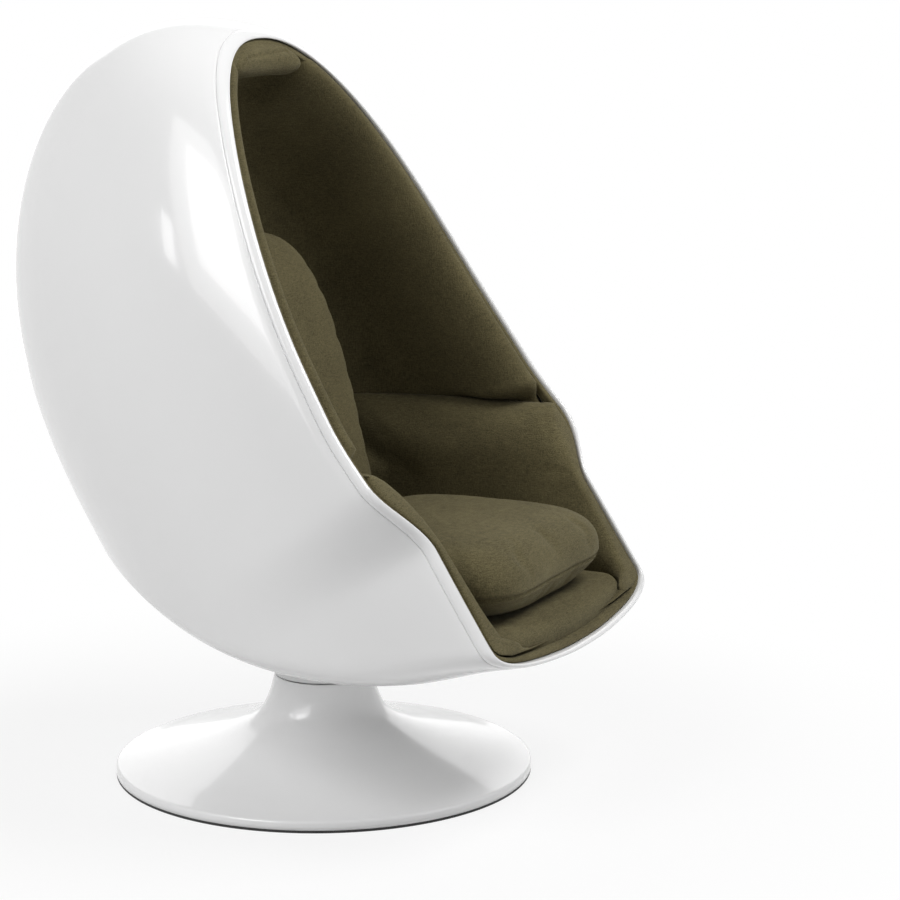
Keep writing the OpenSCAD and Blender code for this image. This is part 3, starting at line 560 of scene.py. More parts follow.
def build_lining():
    bm = bmesh.new()
    bmesh.ops.create_grid(bm, x_segments=LINING_COLS, y_segments=LINING_ROWS, size=1.0)
    climbs = [min(1.0, math.sin(math.pi / 2 * j / LINING_ROWS)) for j in range(LINING_ROWS + 1)]
    lines = [lining_row(1 - (1 - climb) ** ROW_CROWD) for climb in climbs]
    for v in bm.verts:
        i, j = round((v.co.x + 1) / 2 * LINING_COLS), round((v.co.y + 1) / 2 * LINING_ROWS)
        v.co = lines[j][i]
    bmesh.ops.remove_doubles(bm, verts=bm.verts, dist=0.00001)
    bmesh.ops.recalc_face_normals(bm, faces=bm.faces)
    middle = min(bm.faces, key=lambda f: (f.calc_center_median() - Vector((0, 0.15, 0.8))).length)
    if middle.normal.y > 0:
        bmesh.ops.reverse_faces(bm, faces=bm.faces)
    for v in bm.verts:
        _, i, d = RIM.find(v.co)
        inwards, behind = RIM_FRAMES[i]
        e, k = rim_move(d / MM)
        v.co += (inwards * e + behind * k) * MM * roll_share(v.co)
    piece = make_piece(bm, "hood_lining", "pod", outwards=False)
    wall = piece.modifiers.new("foam", "SOLIDIFY")
    wall.thickness, wall.offset = LINING_WALL, -1.0
    return piece


lining = build_lining()
lining.data.materials.append(felt)
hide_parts("lining")


# %% [markdown]
# Padded pieces are made in two moves. First a plain closed form is drawn a
# little slimmer than the real one. Then the cloth solver blows it up like a
# cushion in its cover, and the way each point may go is capped, so the piece
# stays in its own room. A loose cushion first gets a fine even skin, from a
# voxel remesh, and a finer mesh at the end. The side pads keep their own mesh.

# %% Plumping a piece with cloth
PRESSURE, FRAMES = 4.0, 20


def bake(piece):
    bpy.context.view_layer.update()
    graph = bpy.context.evaluated_depsgraph_get()
    mesh = bpy.data.meshes.new_from_object(piece.evaluated_get(graph))
    old = piece.data
    piece.modifiers.clear()
    piece.data = mesh
    bpy.data.meshes.remove(old)
    mesh.polygons.foreach_set("use_smooth", [True] * len(mesh.polygons))


def calm(piece, times):
    soft = piece.modifiers.new("calm", "SMOOTH")
    soft.factor, soft.iterations = 0.5, times


def even_skin(piece, voxel, soften):
    skin = piece.modifiers.new("even", "REMESH")
    skin.mode, skin.voxel_size, skin.use_smooth_shade = "VOXEL", voxel, True
    calm(piece, soften)
    bake(piece)


def blow_up(piece, fixed):
    held = piece.vertex_groups.new(name="held")
    held.add(fixed, 1.0, "REPLACE")
    cloth = piece.modifiers.new("plump", "CLOTH")
    cloth.settings.use_pressure = True
    cloth.settings.uniform_pressure_force = PRESSURE
    cloth.settings.effector_weights.gravity = 0
    cloth.settings.vertex_group_mass = "held"
    cloth.settings.quality = 4
    cloth.point_cache.frame_start, cloth.point_cache.frame_end = 1, FRAMES
    for f in range(1, FRAMES + 1):
        bpy.context.scene.frame_set(f)
    bake(piece)
    bpy.context.scene.frame_set(1)


def plump(piece, cap, hold):
    """Blow a piece up. Past the cap a point moves less and less, to 1.66 caps."""
    start = [v.co.copy() for v in piece.data.vertices]
    blow_up(piece, [i for i, co in enumerate(start) if hold(co)])
    most = 0.0
    for v, home in zip(piece.data.vertices, start):
        way = v.co - home
        most = max(most, way.length)
        if way.length > cap:
            allowed = cap * (2 - cap / way.length) if way.length < 3 * cap else cap * 1.66
            v.co = home + way * (allowed / way.length)
    print(piece.name, len(start), "points, pushed up to", round(most * 1000, 1), "mm")


def finer(piece):
    calm(piece, 5)
    fine = piece.modifiers.new("fine", "SUBSURF")
    fine.levels = fine.render_levels = 1
    bake(piece)


def fill_cushion(piece, voxel, soften, cap, hold):
    even_skin(piece, voxel, soften)
    plump(piece, cap, hold)
    finer(piece)


# %% [markdown]
# Seams come after the plumping. A seam pulls the cover in along a line and
# leaves a small lip on both sides. The line is a list of places, brought to
# the skin first, and every point of the mesh near it moves along its own
# normal. Small stitches of the same wool are then laid in the valley, each one
# a short rounded bar.

# %% Seams and stitches
from mathutils.bvhtree import BVHTree


def on_skin(piece, line):
    """The same line, each point moved to the nearest place on the piece."""
    skin = BVHTree.FromObject(piece, bpy.context.evaluated_depsgraph_get())
    return [skin.find_nearest(p)[0] for p in line]


def pull_seam(piece, line, deep, wide):
    line = on_skin(piece, line)
    near = KDTree(len(line))
    for i, p in enumerate(line):
        near.insert(p, i)
    near.balance()
    mesh = piece.data
    normals = [v.normal.copy() for v in mesh.vertices]
    for v, n in zip(mesh.vertices, normals):
        d = near.find(v.co)[2]
        if d < 5 * wide:
            v.co += n * (0.3 * deep * math.exp(-((d - 2.6 * wide) / (1.3 * wide)) ** 2)
                         - deep * math.exp(-(d / wide) ** 2))


def spaced(line, step):
    out, left = [], 0.0
    for a, b in zip(line, line[1:]):
        run = (b - a).length
        while left <= run:
            out.append((a.lerp(b, left / run), (b - a).normalized()))
            left += step
        left -= run
    return out


STITCH_STEP, STITCH_LONG, STITCH_THICK, STITCH_REACH = 0.0062, 0.0042, 0.0011, 0.02


def stitch_row(name, host, line):
    skin = BVHTree.FromObject(host, bpy.context.evaluated_depsgraph_get())
    bm = bmesh.new()
    for place, along in spaced(line, STITCH_STEP):
        spot, up, _, far = skin.find_nearest(place)
        if spot is None or far > STITCH_REACH:
            continue
        side = along.cross(up).normalized()
        ahead = up.cross(side).normalized()
        turn = Matrix((ahead, side, up)).transposed().to_4x4()
        size = Matrix.Diagonal((STITCH_LONG / 2, STITCH_THICK / 2, STITCH_THICK / 2, 1))
        bmesh.ops.create_uvsphere(bm, u_segments=6, v_segments=5, radius=1.0,
                                  matrix=Matrix.Translation(spot + up * 0.0002) @ turn @ size
                                  @ Matrix.Rotation(math.pi / 2, 4, "Y"))
    row = make_piece(bm, name, "pod")
    row.data.materials.append(felt_thread)
    return row


# %% [markdown]
# The seat deck is foam on a board. In front it rolls down to the lip, and
# its two front corners are round, where the side pads wrap them. The grid runs
# from the lip, over the roll, to the back, and its edge is then drawn down.

# %% The deck pad
DECK_BASE, DECK_LIP, DECK_HALF = 301.0, 292.0, 254.0
DECK_FRONT = mouth_y(296.0, 1.0)
DECK_BACK = lining_back(0.0)[0] + 23.0
DECK_ARC, ROLL_RUN, SKIN_ROOM = FOOT_REACH * 0.16, 70.0, 6.2
CORNER_FROM, CORNER_LONG, CORNER_IN = -425.0, 46.0, 44.0
FRONT_STEP, EDGE_ROUND, EDGE_DROP = 2.2, 0.014, 0.010


def deck_side(y):
    corner = clamp((CORNER_FROM - y) / CORNER_LONG)
    return DECK_HALF - CORNER_IN * (1 - math.sqrt(max(0.0, 1 - corner * corner)))


def deck_half(y, z):
    t = max(0.0, (y - DECK_FRONT) / (DECK_BACK - DECK_FRONT))
    return min(half_width(y, z, WALL + SKIN_ROOM) * (1 - t ** 6 * 0.45), deck_side(y))


def deck_point(X, run):
    """X from -1 to 1 across, run in mm from the lip."""
    v = min(run / ROLL_RUN, 1.0)
    turn = math.pi / 2 * v
    z = DECK_LIP + 1.6 + math.sin(turn) ** 0.72 * (DECK_TOP - DECK_LIP - 1.6)
    y = DECK_FRONT + DECK_ARC * X * X * (1 - v) + 58 * (1 - math.cos(turn) ** 0.8) + max(0.0, run - ROLL_RUN)
    y -= 3 * math.sin(math.pi * min(v * 1.3, 1.0)) ** 2
    x = X * deck_half(y, z)
    return Vector((x, y, z)) * MM


def edge_drop(p):
    """How far a top point sinks where the pad's long edge is rounded."""
    near = min(1.0, (deck_half(p.y / MM, p.z / MM) * MM - abs(p.x)) / EDGE_ROUND)
    return EDGE_DROP * (1 - math.sqrt(max(0.0, 1 - (1 - near) ** 2))) if near < 1 and p.z > 0.32 else 0


def build_deck():
    reach = DECK_BACK - deck_point(0, ROLL_RUN).y / MM
    runs = [i * FRONT_STEP for i in range(40)]
    runs += [runs[-1] + (reach + ROLL_RUN - runs[-1]) * (i / 50) ** 1.15 for i in range(1, 51)]
    bm = bmesh.new()
    bmesh.ops.create_grid(bm, x_segments=200, y_segments=len(runs) - 1, size=1.0)
    for v in bm.verts:
        X, j = v.co.x, round((v.co.y + 1) / 2 * (len(runs) - 1))
        v.co = deck_point(math.copysign(1 - (1 - abs(X)) ** 1.25, X), runs[j])
    for v in bm.verts:
        v.co.z -= edge_drop(v.co)
    rim = [e for e in bm.edges if e.is_boundary]
    made = bmesh.ops.extrude_edge_only(bm, edges=rim)["geom"]
    for g in made:
        if isinstance(g, bmesh.types.BMVert):
            g.co.z = ((DECK_LIP if g.co.y / MM < DECK_FRONT + DECK_ARC + 1 else DECK_BASE) + 0.3) * MM
    low = [g for g in made if isinstance(g, bmesh.types.BMEdge) and g.is_boundary]
    bmesh.ops.edgeloop_fill(bm, edges=low)
    return make_piece(bm, "deck_pad", "pod")


deck = build_deck()
deck.data.materials.append(felt)
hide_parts("seat_deck")


# %% [markdown]
# A side pad fills the room between the seat and the lining, from the board up
# to the arm rest. Seen from the front it is a tall soft post, flush with the
# bead, that follows the lip. Seen from the seat it leans outwards and rolls
# over at the top. Low down it is square, to wrap the deck's round corner.

# %% Rules of the side pads
ARM_FOOT, ARM_LEAN, ARM_BACK = 256.0, 37.0, 102.8
ROUND_FROM, ROUND_RUN, ARM_EDGE, ARM_FORWARD = 335.0, 75.0, 3.0, -13.0
BACK_LINE = [lining_back(i / 400) for i in range(401)]
ROUND_FRONT = smooth_line([(0, 14), (0.03, 7), (0.1, 2.5), (0.22, 0.3), (0.42, 0), (0.62, 0.8), (0.79, 4.5),
                           (0.9, 13), (0.965, 29), (0.995, 55), (1, 90)], 4)
SQUARE_FRONT = smooth_line([(0, 3), (0.03, 1.8), (0.1, 1), (0.24, 0.6), (0.45, 0.5), (0.66, 0.5), (0.84, 1.5),
                            (0.96, 6), (1, 15), (1, 34), (1, 70)], 4)
WALLS = {}


def lining_depth_at(z):
    for (y0, z0), (y1, z1) in zip(BACK_LINE, BACK_LINE[1:]):
        if z0 <= z <= z1:
            return mix(y0, y1, (z - z0) / (z1 - z0))
    return BACK_LINE[0][0]


def lining_wall(y, z):
    """Half width inside the lining at a height, kept in WALLS once it is known."""
    key = round(z, 2)
    if key not in WALLS:
        front = mouth_y(z, LINING_K)
        WALLS[key] = (front, lining_depth_at(z), half_width(front, z, LINING_E), lining_power(z))
    front, back, rim, p = WALLS[key]
    if y < front or z < LINING_BASE:
        return half_width(y, z, LINING_E + 2)
    share = clamp((y - front) / (back - front))
    return rim * (1 - share ** p) ** (1 / p) - 2


def arm_spot(z, i, deep):
    """Seat side and wall side, in millimetres, of the ring i at the height z."""
    w, edge_y = smooth_step((z - ROUND_FROM) / ROUND_RUN), mouth_y(z, ARM_EDGE)
    u, v = (mix(a, b, w) for a, b in zip(SQUARE_FRONT[i], ROUND_FRONT[i]))
    spare = half_width(edge_y, z, LINING_E - 7) - deck_side(edge_y)
    front = mouth_y(z, mix(1, ARM_FORWARD, smooth_step((spare - 4) / 26)))
    y = front + v + deep * (ARM_BACK - front - v)
    l = clamp((z - LINING_BASE) / (ARM_TOP - LINING_BASE))
    wall = lining_wall(max(y, edge_y), z) + 9 * (1 - smooth_step((y - mouth_y(z, -1)) / 9))
    face = min(mix(ARM_FOOT, ARM_FOOT + ARM_LEAN, l), mix(deck_side(y) + 1.5, 400, clamp((z - 345) / 20)))
    face = mix(wall, min(face, wall - 1), max(0.0, 1 - l ** 8) ** (1 / 2.6))
    return Vector((mix(wall, face, u), y, z)) * MM, Vector((wall, max(y, edge_y), z)) * MM


# %% [markdown]
# The pad grows from its front, ring by ring. The first rings turn the soft
# front over, and the rest run back along the seat until the pad meets the
# lining. The right pad is the left one mirrored. The cloth solver works on this
# mesh as it is, because a remesh would eat the thin end at the back.

# %% Make the two side pads
ARM_ROWS, ARM_RINGS, ARM_LOW, HELD_ROOM = 54, 44, DECK_BASE - 9, 12.0


def arm_ring(i, deep):
    heights = [mix(ARM_LOW, ARM_TOP, math.sin(math.pi / 2 * j / ARM_ROWS)) for j in range(ARM_ROWS + 1)]
    pairs = [arm_spot(z, i, deep) for z in heights]
    return [p[0] for p in pairs] + [p[1] for p in pairs[-2::-1]]


def arm_held(co):
    room = lining_wall((co.y - bow_way(co)) / MM, co.z / MM) - abs(co.x) / MM
    return room < HELD_ROOM or co.z / MM < LINING_BASE + 8 or co.y / MM > ARM_BACK - HELD_ROOM


def build_arm(name, side, node):
    bm = bmesh.new()
    last = len(ROUND_FRONT) - 1
    rings = [arm_ring(i, 0) for i in range(last + 1)]
    rings += [arm_ring(last, j / ARM_RINGS) for j in range(1, ARM_RINGS + 1)]
    close_end(bm, grow(bm, rings)[1])
    bmesh.ops.remove_doubles(bm, verts=bm.verts, dist=0.0003)
    if side < 0:
        bmesh.ops.scale(bm, vec=(-1, 1, 1), verts=bm.verts)
    arm = make_piece(bm, name, "pod")
    plump(arm, 0.004, arm_held)
    arm.data.materials.append(felt)
    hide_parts(node)
    return arm


arm_left = build_arm("arm_left", 1, "arm_pad_left")
arm_right = build_arm("arm_right", -1, "arm_pad_right")


# %% [markdown]
# The seat cushion is loose. Its front is a half round, its back is nearly
# straight, and its top is crowned. The cover is cut so that the top panel
# wraps over the front, and the boxing seam sits low, near the deck.

# %% The seat cushion
SEAT_W, SEAT_D, SEAT_FRONT = 509.0, 438.0, -467.0
SEAT_MID, SEAT_BASE = SEAT_FRONT + SEAT_D / 2, DECK_TOP + 2.0


def d_shape(count, w, d, front_power, back_power):
    out = []
    for i in range(count):
        a = 2 * math.pi * i / count
        p = front_power if math.sin(a) < 0 else back_power
        c, s = math.cos(a), math.sin(a)
        r = (abs(c) ** p + abs(s) ** p) ** (-1 / p)
        out.append((w / 2 * r * c, d / 2 * r * s))
    return out


SEAT_LINE = d_shape(300, SEAT_W, SEAT_D, 4.6, 5.0)
SEAT_RISE = [(0.03, 0.5), (0.3, 0.5), (0.46, 2), (0.6, 6), (0.72, 12), (0.82, 19), (0.9, 27), (0.955, 36),
             (0.985, 46), (1.0, 58), (0.995, 70), (0.978, 83), (0.945, 95), (0.892, 105), (0.805, 112.5),
             (0.675, 118), (0.5, 121.5), (0.3, 123.5), (0.06, 124)]
SEAM_RISE = 46.0


def seat_ring(s, z):
    return [Vector((x * s, SEAT_MID + y * s, SEAT_BASE + z)) * MM for x, y in SEAT_LINE]


def build_seat():
    bm = bmesh.new()
    grow_closed(bm, [seat_ring(s, z) for s, z in SEAT_RISE])
    return make_piece(bm, "seat_pad", "pod")


seat = build_seat()
fill_cushion(seat, 0.0055, 3, 0.007, lambda co: co.z / MM < SEAT_BASE + 3)
seat.data.materials.append(felt)
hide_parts("seat_cushion")
SEAT_SEAM = seat_ring(1, SEAM_RISE)
SEAT_SEAM.append(SEAT_SEAM[0])
pull_seam(seat, SEAT_SEAM, 0.0032, 0.0024)
seat_stitches = stitch_row("seat_stitches", seat, SEAT_SEAM)


# %% [markdown]
# The back cushion stands behind the seat cushion and leans with the
# lining. It is drawn flat first, as a tall shape with a round top, and then
# each point is leaned back and bent, as the source of the part does it.

# %% The back cushion
BACK_W, BACK_H, BACK_T, BACK_CROWN = 450.0, 606.0, 104.0, 20.0
LEAN, BACK_FOOT, BACK_BEND = math.radians(11), 27.8, 46.0
SEAM_SHARE, SEAM_OUT = 0.985, 26
BACK_SINK = (BACK_T / 2 - BACK_CROWN * 0.7) * math.sin(LEAN)


def back_place(x, h, out):
    bend = BACK_BEND * max(0.0, h / BACK_H) ** 2
    return Vector((x, BACK_FOOT + h * math.sin(LEAN) + out * math.cos(LEAN) + bend,
                   DECK_TOP + 0.3 + BACK_SINK + h * math.cos(LEAN) - out * math.sin(LEAN))) * MM


BACK_LINE_2D = d_shape(300, BACK_W, BACK_H, 5.0, 3.2)
BACK_RISE = [(0.04, -70), (0.3, -69), (0.55, -67), (0.74, -63), (0.86, -57), (0.93, -49), (0.967, -38),
             (0.985, -24), (0.99, -8), (0.988, 10), (0.985, 26), (0.975, 38), (0.95, 48), (0.89, 56),
             (0.74, 63), (0.5, 68), (0.04, 71)]


def back_ring(s, out):
    return [back_place(x * s, BACK_H / 2 + y * s, out) for x, y in BACK_LINE_2D]


def build_back():
    bm = bmesh.new()
    grow_closed(bm, [back_ring(s, out) for s, out in BACK_RISE])
    return make_piece(bm, "back_pad", "pod")


back = build_back()
fill_cushion(back, 0.006, 3, 0.005, lambda co: co.z / MM < DECK_TOP + 6 or co.y / MM > 235)
back.data.materials.append(felt)
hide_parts("back_cushion")
BACK_SEAM = [bow(p) for p in back_ring(SEAM_SHARE, SEAM_OUT)]
BACK_SEAM.append(BACK_SEAM[0])
pull_seam(back, BACK_SEAM, 0.003, 0.0024)
back_stitches = stitch_row("back_stitches", back, BACK_SEAM)


# %% [markdown]
# The head pad is a short bolster that hangs under the crown. Its cover is
# gathered at both ends, so the ends are round, and the felt lies in one
# soft fold along the front.

# %% The head pad
HEAD_W, HEAD_H, HEAD_D, HEAD_SAG = 250.0, 60.0, 52.0, 6.0
HEAD_E, HEAD_K = LINING_E - 5, 13.0


def crown_s(x, k, e):
    q = ring_share(k, SHELL_DEPTH - e)
    share = 1 - (abs(x) / ((MOUTH_HALF_W - e) * q)) ** TOP_POWER
    return MOUTH_CENTRE + ring_rise(k) + (CROWN_REACH - e) * q * share ** (1 / TOP_POWER)


HEAD_LOW = crown_s(0, HEAD_K, HEAD_E) - HEAD_H


def head_ring(t):
    fat = (1 - min(abs(t), 0.995) ** 6) ** 0.42
    x, out = t * HEAD_W / 2, []
    top = crown_s(x, HEAD_K, HEAD_E)
    low = HEAD_LOW - HEAD_SAG * t * t
    mid, half = (top + low) / 2, (top - low) / 2 - 1
    for i in range(48):
        a = 2 * math.pi * i / 48
        out.append(to_frame(x, mid + half * fat * signed_pow(math.sin(a), 0.8),
                            HEAD_K + (HEAD_D / 2 - 1) * fat * signed_pow(math.cos(a), 0.8)))
    return out


def build_head():
    bm = bmesh.new()
    grow_closed(bm, [head_ring(math.sin(math.pi / 2 * (j / 24 - 1))) for j in range(49)])
    return make_piece(bm, "head_roll", "pod")


head = build_head()
fill_cushion(head, 0.004, 2, 0.003, lambda co: False)
head.data.materials.append(felt)
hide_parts("head_pad")
FOLD = [bow(to_frame(x, HEAD_LOW + 24 + x * 0.06, HEAD_K - HEAD_D / 2)) for x in range(-70, 71, 3)]
pull_seam(head, FOLD, 0.0022, 0.0034)


# %% [markdown]
# Under the egg a neck of the same gelcoat flares up into the shell. Its
# last ring lies on the shell, so rays are cast upwards from the floor to
# find where the shell is. The hollow inside leaves room for the bearing.

# %% The neck under the shell
NECK_R, NECK_TOP, DISC_R = 87.0, 174.0, 367.0
FLARE, NECK_WALL, NECK_RIM, NECK_GAP, GLUE = 95.0, 7.0, 0.986, 2.0, 0.0006


def shell_over(x, y, host):
    return host.ray_cast(Vector((x, y, 0.1)), Vector((0, 0, 1)))[0].z


def build_neck():
    host = BVHTree.FromObject(shell, bpy.context.evaluated_depsgraph_get())
    turns = [2 * math.pi * i / 144 for i in range(144)]
    full = (NECK_R + FLARE) * MM

    def ring(t, inset):
        r = (NECK_R - inset + FLARE * (1 - math.sqrt(max(0.0, 1 - t * t)))) * MM
        out = []
        for a in turns:
            x, y = r * math.cos(a), r * math.sin(a)
            top = shell_over(full * math.cos(a), full * math.sin(a), host) + GLUE
            here = shell_over(x, y, host) + GLUE
            z = mix((NECK_TOP + NECK_GAP) * MM, top, t)
            out.append(Vector((x, y, here if t >= 1 else min(z, here))))
        return out

    bm = bmesh.new()
    outer = [ring(math.sin(math.pi / 2 * j / 26), 0) for j in range(27)]
    rim = [Vector((p.x * NECK_RIM, p.y * NECK_RIM, p.z)) for p in outer[0]]
    inner = [ring(math.sin(math.pi / 2 * j / 10), NECK_WALL) for j in range(9, -1, -1)]
    start, end = grow(bm, inner + [rim] + outer)
    bmesh.ops.bridge_loops(bm, edges=loop_edges(bm, start) + loop_edges(bm, end))
    return make_piece(bm, "neck_flare", "pod")


neck = build_neck()
neck.data.materials.append(gelcoat)
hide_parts("shell_boss")


# %% [markdown]
# The foot is a trumpet, spun from one sheet of aluminium and enamelled. One
# curve, turned all the way round, gives the whole skin. The curve runs up
# the outside, over the top edge and down the inside, and closes on itself.

# %% The trumpet foot
TRUMPET = [(0.905, 0.04), (0.81, 0.085), (0.66, 0.155), (0.50, 0.235), (0.35, 0.32), (0.24, 0.4),
           (0.155, 0.48), (0.08, 0.6), (0.03, 0.79), (0, 1)]
SHEET = 3.0


def spun(name, line, body, material):
    bm = bmesh.new()
    first = bm.verts.new((line[0][0] * MM, 0, line[0][1] * MM))
    verts, edges = [first], []
    for r, z in line[1:]:
        v = bm.verts.new((r * MM, 0, z * MM))
        edges.append(bm.edges.new((verts[-1], v)))
        verts.append(v)
    edges.append(bm.edges.new((verts[-1], verts[0])))
    bmesh.ops.spin(bm, geom=verts + edges, cent=(0, 0, 0), axis=(0, 0, 1), angle=2 * math.pi, steps=192,
                   use_merge=True)
    bmesh.ops.remove_doubles(bm, verts=bm.verts, dist=0.000001)
    piece = make_piece(bm, name, body)
    piece.data.materials.append(material)
    return piece


def foot_line():
    skirt = [(DISC_R, 5.0), (DISC_R, 11.0), (DISC_R, 15.5), (DISC_R - 0.6, 17.8), (DISC_R - 2, 19.3),
             (DISC_R - 4, 20.2)]
    rise = [(mix(NECK_R, DISC_R - SHEET, s), mix(20, NECK_TOP, h)) for s, h in TRUMPET]
    outer = smooth_line(skirt[-1:] + rise, 7)
    inner = [(r - SHEET * min(1, 0.3 + (z - 20) / 140), z - SHEET * max(0.0, 1 - (z - 20) / 150))
             for r, z in outer[-2::-3]]
    top = [(NECK_R, NECK_TOP - 0.8), (NECK_R - 0.8, NECK_TOP), (NECK_R - 2.4, NECK_TOP),
           (NECK_R - SHEET, NECK_TOP - 0.8)]
    return skirt[:-1] + outer[:-1] + top + inner[:-1] + [(DISC_R - 3.2, 16.0), (DISC_R - SHEET, 5.0)]


foot = spun("trumpet_foot", foot_line(), "pedestal", enamel)
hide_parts("pedestal_skin")


# %% [markdown]
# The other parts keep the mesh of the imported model, because turned and cut
# hard parts are right as they are. Each takes the finish of its material:
# rubber, black powder coat, zinc plate, nylon, plywood or zip tape.

# %% Rubber, powder coat, zinc and nylon
def speckled(name, dark, light, scale, rough, metallic=0.0, bump=0.1):
    mat, shader, add, put = recipe(name)
    spots = add("ShaderNodeTexNoise", Vector=place_of(add), Scale=scale, Detail=4.0, Roughness=0.6)
    put(shader, "Base Color", ramp(add, spots.outputs["Fac"], [(0.35, dark), (0.65, light)]))
    tone = add("ShaderNodeMapRange", Value=spots.outputs["Fac"], To_Min=rough[0], To_Max=rough[1])
    put(shader, "Roughness", tone.outputs["Result"])
    put(shader, "Metallic", metallic)
    rise = add("ShaderNodeBump", Height=spots.outputs["Fac"], Strength=bump, Distance=0.0004)
    put(shader, "Normal", rise.outputs["Normal"])
    return mat


rubber = speckled("black_rubber", (0.012, 0.012, 0.012), (0.03, 0.03, 0.03), 320, (0.6, 0.85), bump=0.3)
powder = speckled("powder_coat", (0.02, 0.02, 0.022), (0.035, 0.035, 0.037), 900, (0.45, 0.6), bump=0.4)
zinc = speckled("zinc_plate", (0.5, 0.51, 0.53), (0.62, 0.63, 0.65), 60, (0.25, 0.42), 1.0)
nylon = speckled("cage_nylon", (0.045, 0.045, 0.048), (0.07, 0.07, 0.072), 160, (0.4, 0.55))


# %% [markdown]
# Birch plywood shows pale long grain on its faces and thin glued layers on
# its edges. A stretched noise gives the grain, and a wave along the height
# gives the layers. The zip tape is a fine twill of two dark greens.

# %% Plywood and zip tape
def plywood():
    mat, shader, add, put = recipe("birch_ply")
    grain = add("ShaderNodeTexNoise", Vector=place_of(add, (9, 130, 30)), Scale=1.0, Detail=6.0,
                Roughness=0.6)
    layers = add("ShaderNodeTexWave", Vector=place_of(add), bands_direction="Z", Scale=110.0, Distortion=0.6,
                 Detail=1.0)
    wood = ramp(add, grain.outputs["Fac"], [(0.3, (0.46, 0.33, 0.19)), (0.7, (0.68, 0.53, 0.34))])
    glue = ramp(add, layers.outputs["Fac"], [(0.0, (0.72, 0.68, 0.62)), (0.35, (1, 1, 1))])
    tint = add("ShaderNodeMix", data_type="RGBA", blend_type="MULTIPLY", i0=1.0, i6=wood, i7=glue)
    put(shader, "Base Color", tint.outputs[2])
    put(shader, "Roughness", 0.62)
    rise = add("ShaderNodeBump", Height=grain.outputs["Fac"], Strength=0.2, Distance=0.0004)
    put(shader, "Normal", rise.outputs["Normal"])
    return mat


def twill():
    mat, shader, add, put = recipe("zip_tape")
    lines = add("ShaderNodeTexWave", Vector=place_of(add, turn=(0.5, 0.3, 0.7)), Scale=420.0,
                Distortion=0.4)
    greens = [(0.2, (0.025, 0.022, 0.014)), (0.8, (0.06, 0.054, 0.034))]
    put(shader, "Base Color", ramp(add, lines.outputs["Fac"], greens))
    put(shader, "Roughness", 0.85)
    rise = add("ShaderNodeBump", Height=lines.outputs["Fac"], Strength=0.4, Distance=0.0003)
    put(shader, "Normal", rise.outputs["Normal"])
    return mat


FINISH = {"pedestal_gloss": enamel, "shell_gloss": gelcoat, "olive_felt": felt, "zip_tape": twill(),
          "birch_ply": plywood(), "dark_steel": powder, "bright_steel": zinc, "cage_nylon": nylon,
          "black_rubber": rubber}
for part in frame["record"]["subparts"]:
    obj = nodes[part["node"]]
    obj.data.materials.clear()
    obj.data.materials.append(FINISH[part["material_slot"]])
print("finishes laid on", len(nodes), "nodes")


# %% [markdown]
# The floor is plain and pale. Far from the chair it glows white by itself,
# so no edge shows. Near the chair it takes light as paper does, and keeps the
# chair's shadow. Only rays from the camera and mirror rays see the glow.

# %% Floor and world
def seen_directly(tree):
    """1 for rays from the camera and for mirror and glass rays, 0 for the rest."""
    path = tree.nodes.new("ShaderNodeLightPath")
    seen = path.outputs["Is Camera Ray"]
    for other in ("Is Glossy Ray", "Is Transmission Ray"):
        most = tree.nodes.new("ShaderNodeMath")
        most.operation = "MAXIMUM"
        tree.links.new(seen, most.inputs[0])
        tree.links.new(path.outputs[other], most.inputs[1])
        seen = most.outputs["Value"]
    return seen


def build_floor():
    bm = bmesh.new()
    bmesh.ops.create_circle(bm, segments=96, radius=9.0, cap_ends=True)
    mesh = bpy.data.meshes.new("studio_floor")
    bm.to_mesh(mesh)
    bm.free()
    floor = bpy.data.objects.new("studio_floor", mesh)
    bpy.context.scene.collection.objects.link(floor)
    mat, shader, add, put = recipe("white_paper")
    tree = mat.node_tree
    put(shader, "Base Color", (0.8, 0.8, 0.8, 1))
    put(shader, "Roughness", 0.9)
    put(shader, "Specular IOR Level", 0.1)
    where = add("ShaderNodeTexCoord")
    far = add("ShaderNodeVectorMath", operation="LENGTH", i0=where.outputs["Object"])
    fade = add("ShaderNodeMapRange", interpolation_type="SMOOTHSTEP", Value=far.outputs["Value"],
               From_Min=0.55, From_Max=1.3, To_Min=0.82, To_Max=1.0)
    glow = add("ShaderNodeEmission", Color=(1, 1, 1, 1), Strength=1.0)
    share = add("ShaderNodeMath", operation="MULTIPLY", i0=fade.outputs["Result"], i1=seen_directly(tree))
    both = add("ShaderNodeMixShader", i0=share.outputs["Value"], i1=shader.outputs["BSDF"],
               i2=glow.outputs["Emission"])
    tree.links.new(both.outputs["Shader"], tree.nodes["Material Output"].inputs["Surface"])
    mesh.materials.append(mat)


def build_world():
    world = bpy.data.worlds.new("studio")
    bpy.context.scene.world = world
    world.use_nodes = True
    tree = world.node_tree
    sky = tree.nodes["Background"]
    level = tree.nodes.new("ShaderNodeMapRange")
    level.inputs["To Min"].default_value, level.inputs["To Max"].default_value = 0.17, 1.0
    tree.links.new(seen_directly(tree), level.inputs["Value"])
    tree.links.new(level.outputs["Result"], sky.inputs["Strength"])
    sky.inputs["Color"].default_value = (1, 1, 1, 1)


build_floor()
build_world()


# %% [markdown]
# Soft lamps light the chair, as in a product studio. The key hangs high on
# the left, with a bright middle and a dim edge, so its reflection fades out. A
# small window gives the sharp highlight. One panel in front opens up the
# seat, and a wide weak one at the right lights the foot.

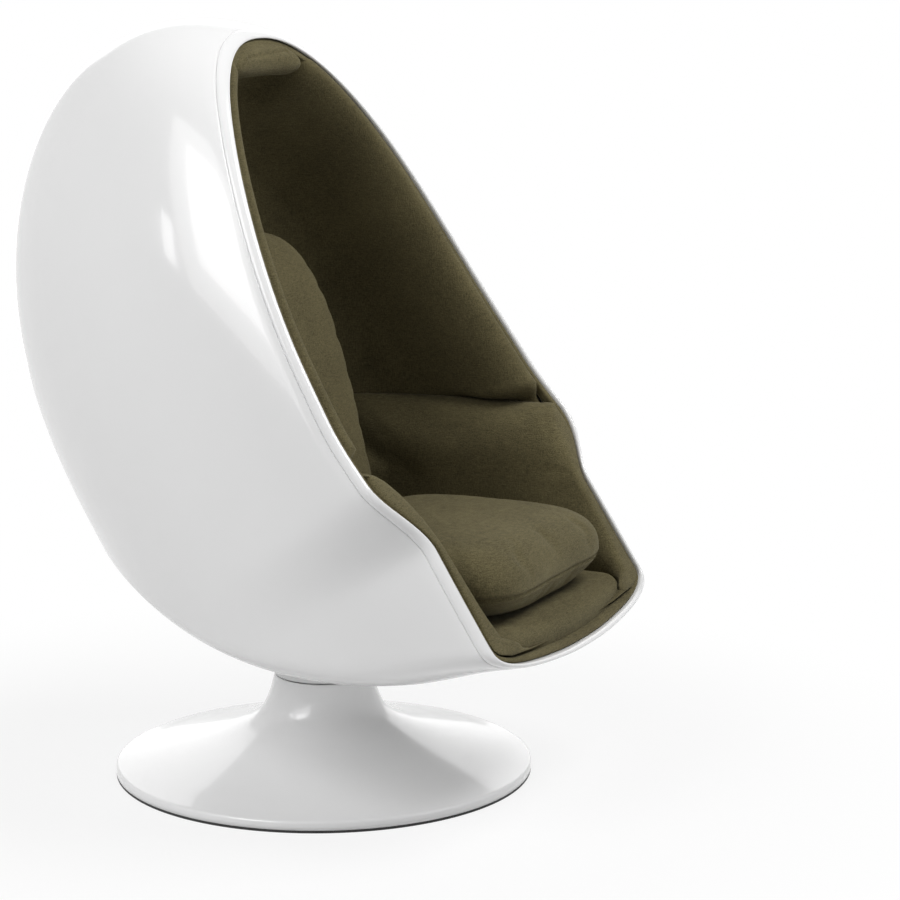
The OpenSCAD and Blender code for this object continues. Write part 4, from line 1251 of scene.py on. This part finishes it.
# %% Soft lamps
def softbox(name, place, aim, size, power):
    data = bpy.data.lights.new(name, "AREA")
    data.shape, data.size, data.size_y, data.energy = "RECTANGLE", size[0], size[1], power
    lamp = bpy.data.objects.new(name, data)
    bpy.context.scene.collection.objects.link(lamp)
    lamp.location = place
    lamp.rotation_euler = (Vector(aim) - Vector(place)).to_track_quat("-Z", "Y").to_euler()


softbox("key_core", (-3.0, 1.0, 3.1), (0, 0, 0.7), (1.6, 2.0), 36)
softbox("key_edge", (-3.1, 1.05, 3.2), (0, 0, 0.7), (2.7, 3.2), 57)
softbox("window", (-2.36, 2.1, 1.95), (-0.3, 0, 0.9), (0.22, 0.55), 2.2)
softbox("front", (0.6, -2.1, 3.4), (0, -0.1, 0.5), (1.8, 1.6), 90)
softbox("low_right", (2.6, 1.1, 1.2), (0, 0, 0.1), (3.4, 2.4), 19)


# %% [markdown]
# The camera stands where the photographer stood: in front and to the side,
# at about head height, with a long lens. Its place was worked out from the
# round foot and the two sides of the mouth.

# %% Camera
CAMERA_FAR, CAMERA_HIGH, FOCAL_PX, PICTURE_PX, SENSOR = 4.6024, 1.4516, 2690.3, 900, 36.0


def build_camera():
    around, turn, down = map(math.radians, (-62.0, 2.782, 10.824))
    place = Vector((math.sin(around) * CAMERA_FAR, -math.cos(around) * CAMERA_FAR, CAMERA_HIGH))
    ahead = Vector((-math.sin(around), math.cos(around), 0))
    right = Vector((math.cos(around), math.sin(around), 0))
    flat = ahead * math.cos(turn) + right * math.sin(turn)
    side = right * math.cos(turn) - ahead * math.sin(turn)
    look = flat * math.cos(down) - Vector((0, 0, 1)) * math.sin(down)
    top = flat * math.sin(down) + Vector((0, 0, 1)) * math.cos(down)
    data = bpy.data.cameras.new("photographer")
    data.sensor_width, data.lens = SENSOR, FOCAL_PX / PICTURE_PX * SENSOR
    data.clip_end = 50
    camera = bpy.data.objects.new("photographer", data)
    bpy.context.scene.collection.objects.link(camera)
    camera.matrix_world = Matrix((side, top, -look)).transposed().to_4x4()
    camera.location = place
    bpy.context.scene.camera = camera


build_camera()
bpy.context.scene.view_settings.view_transform = "Standard"
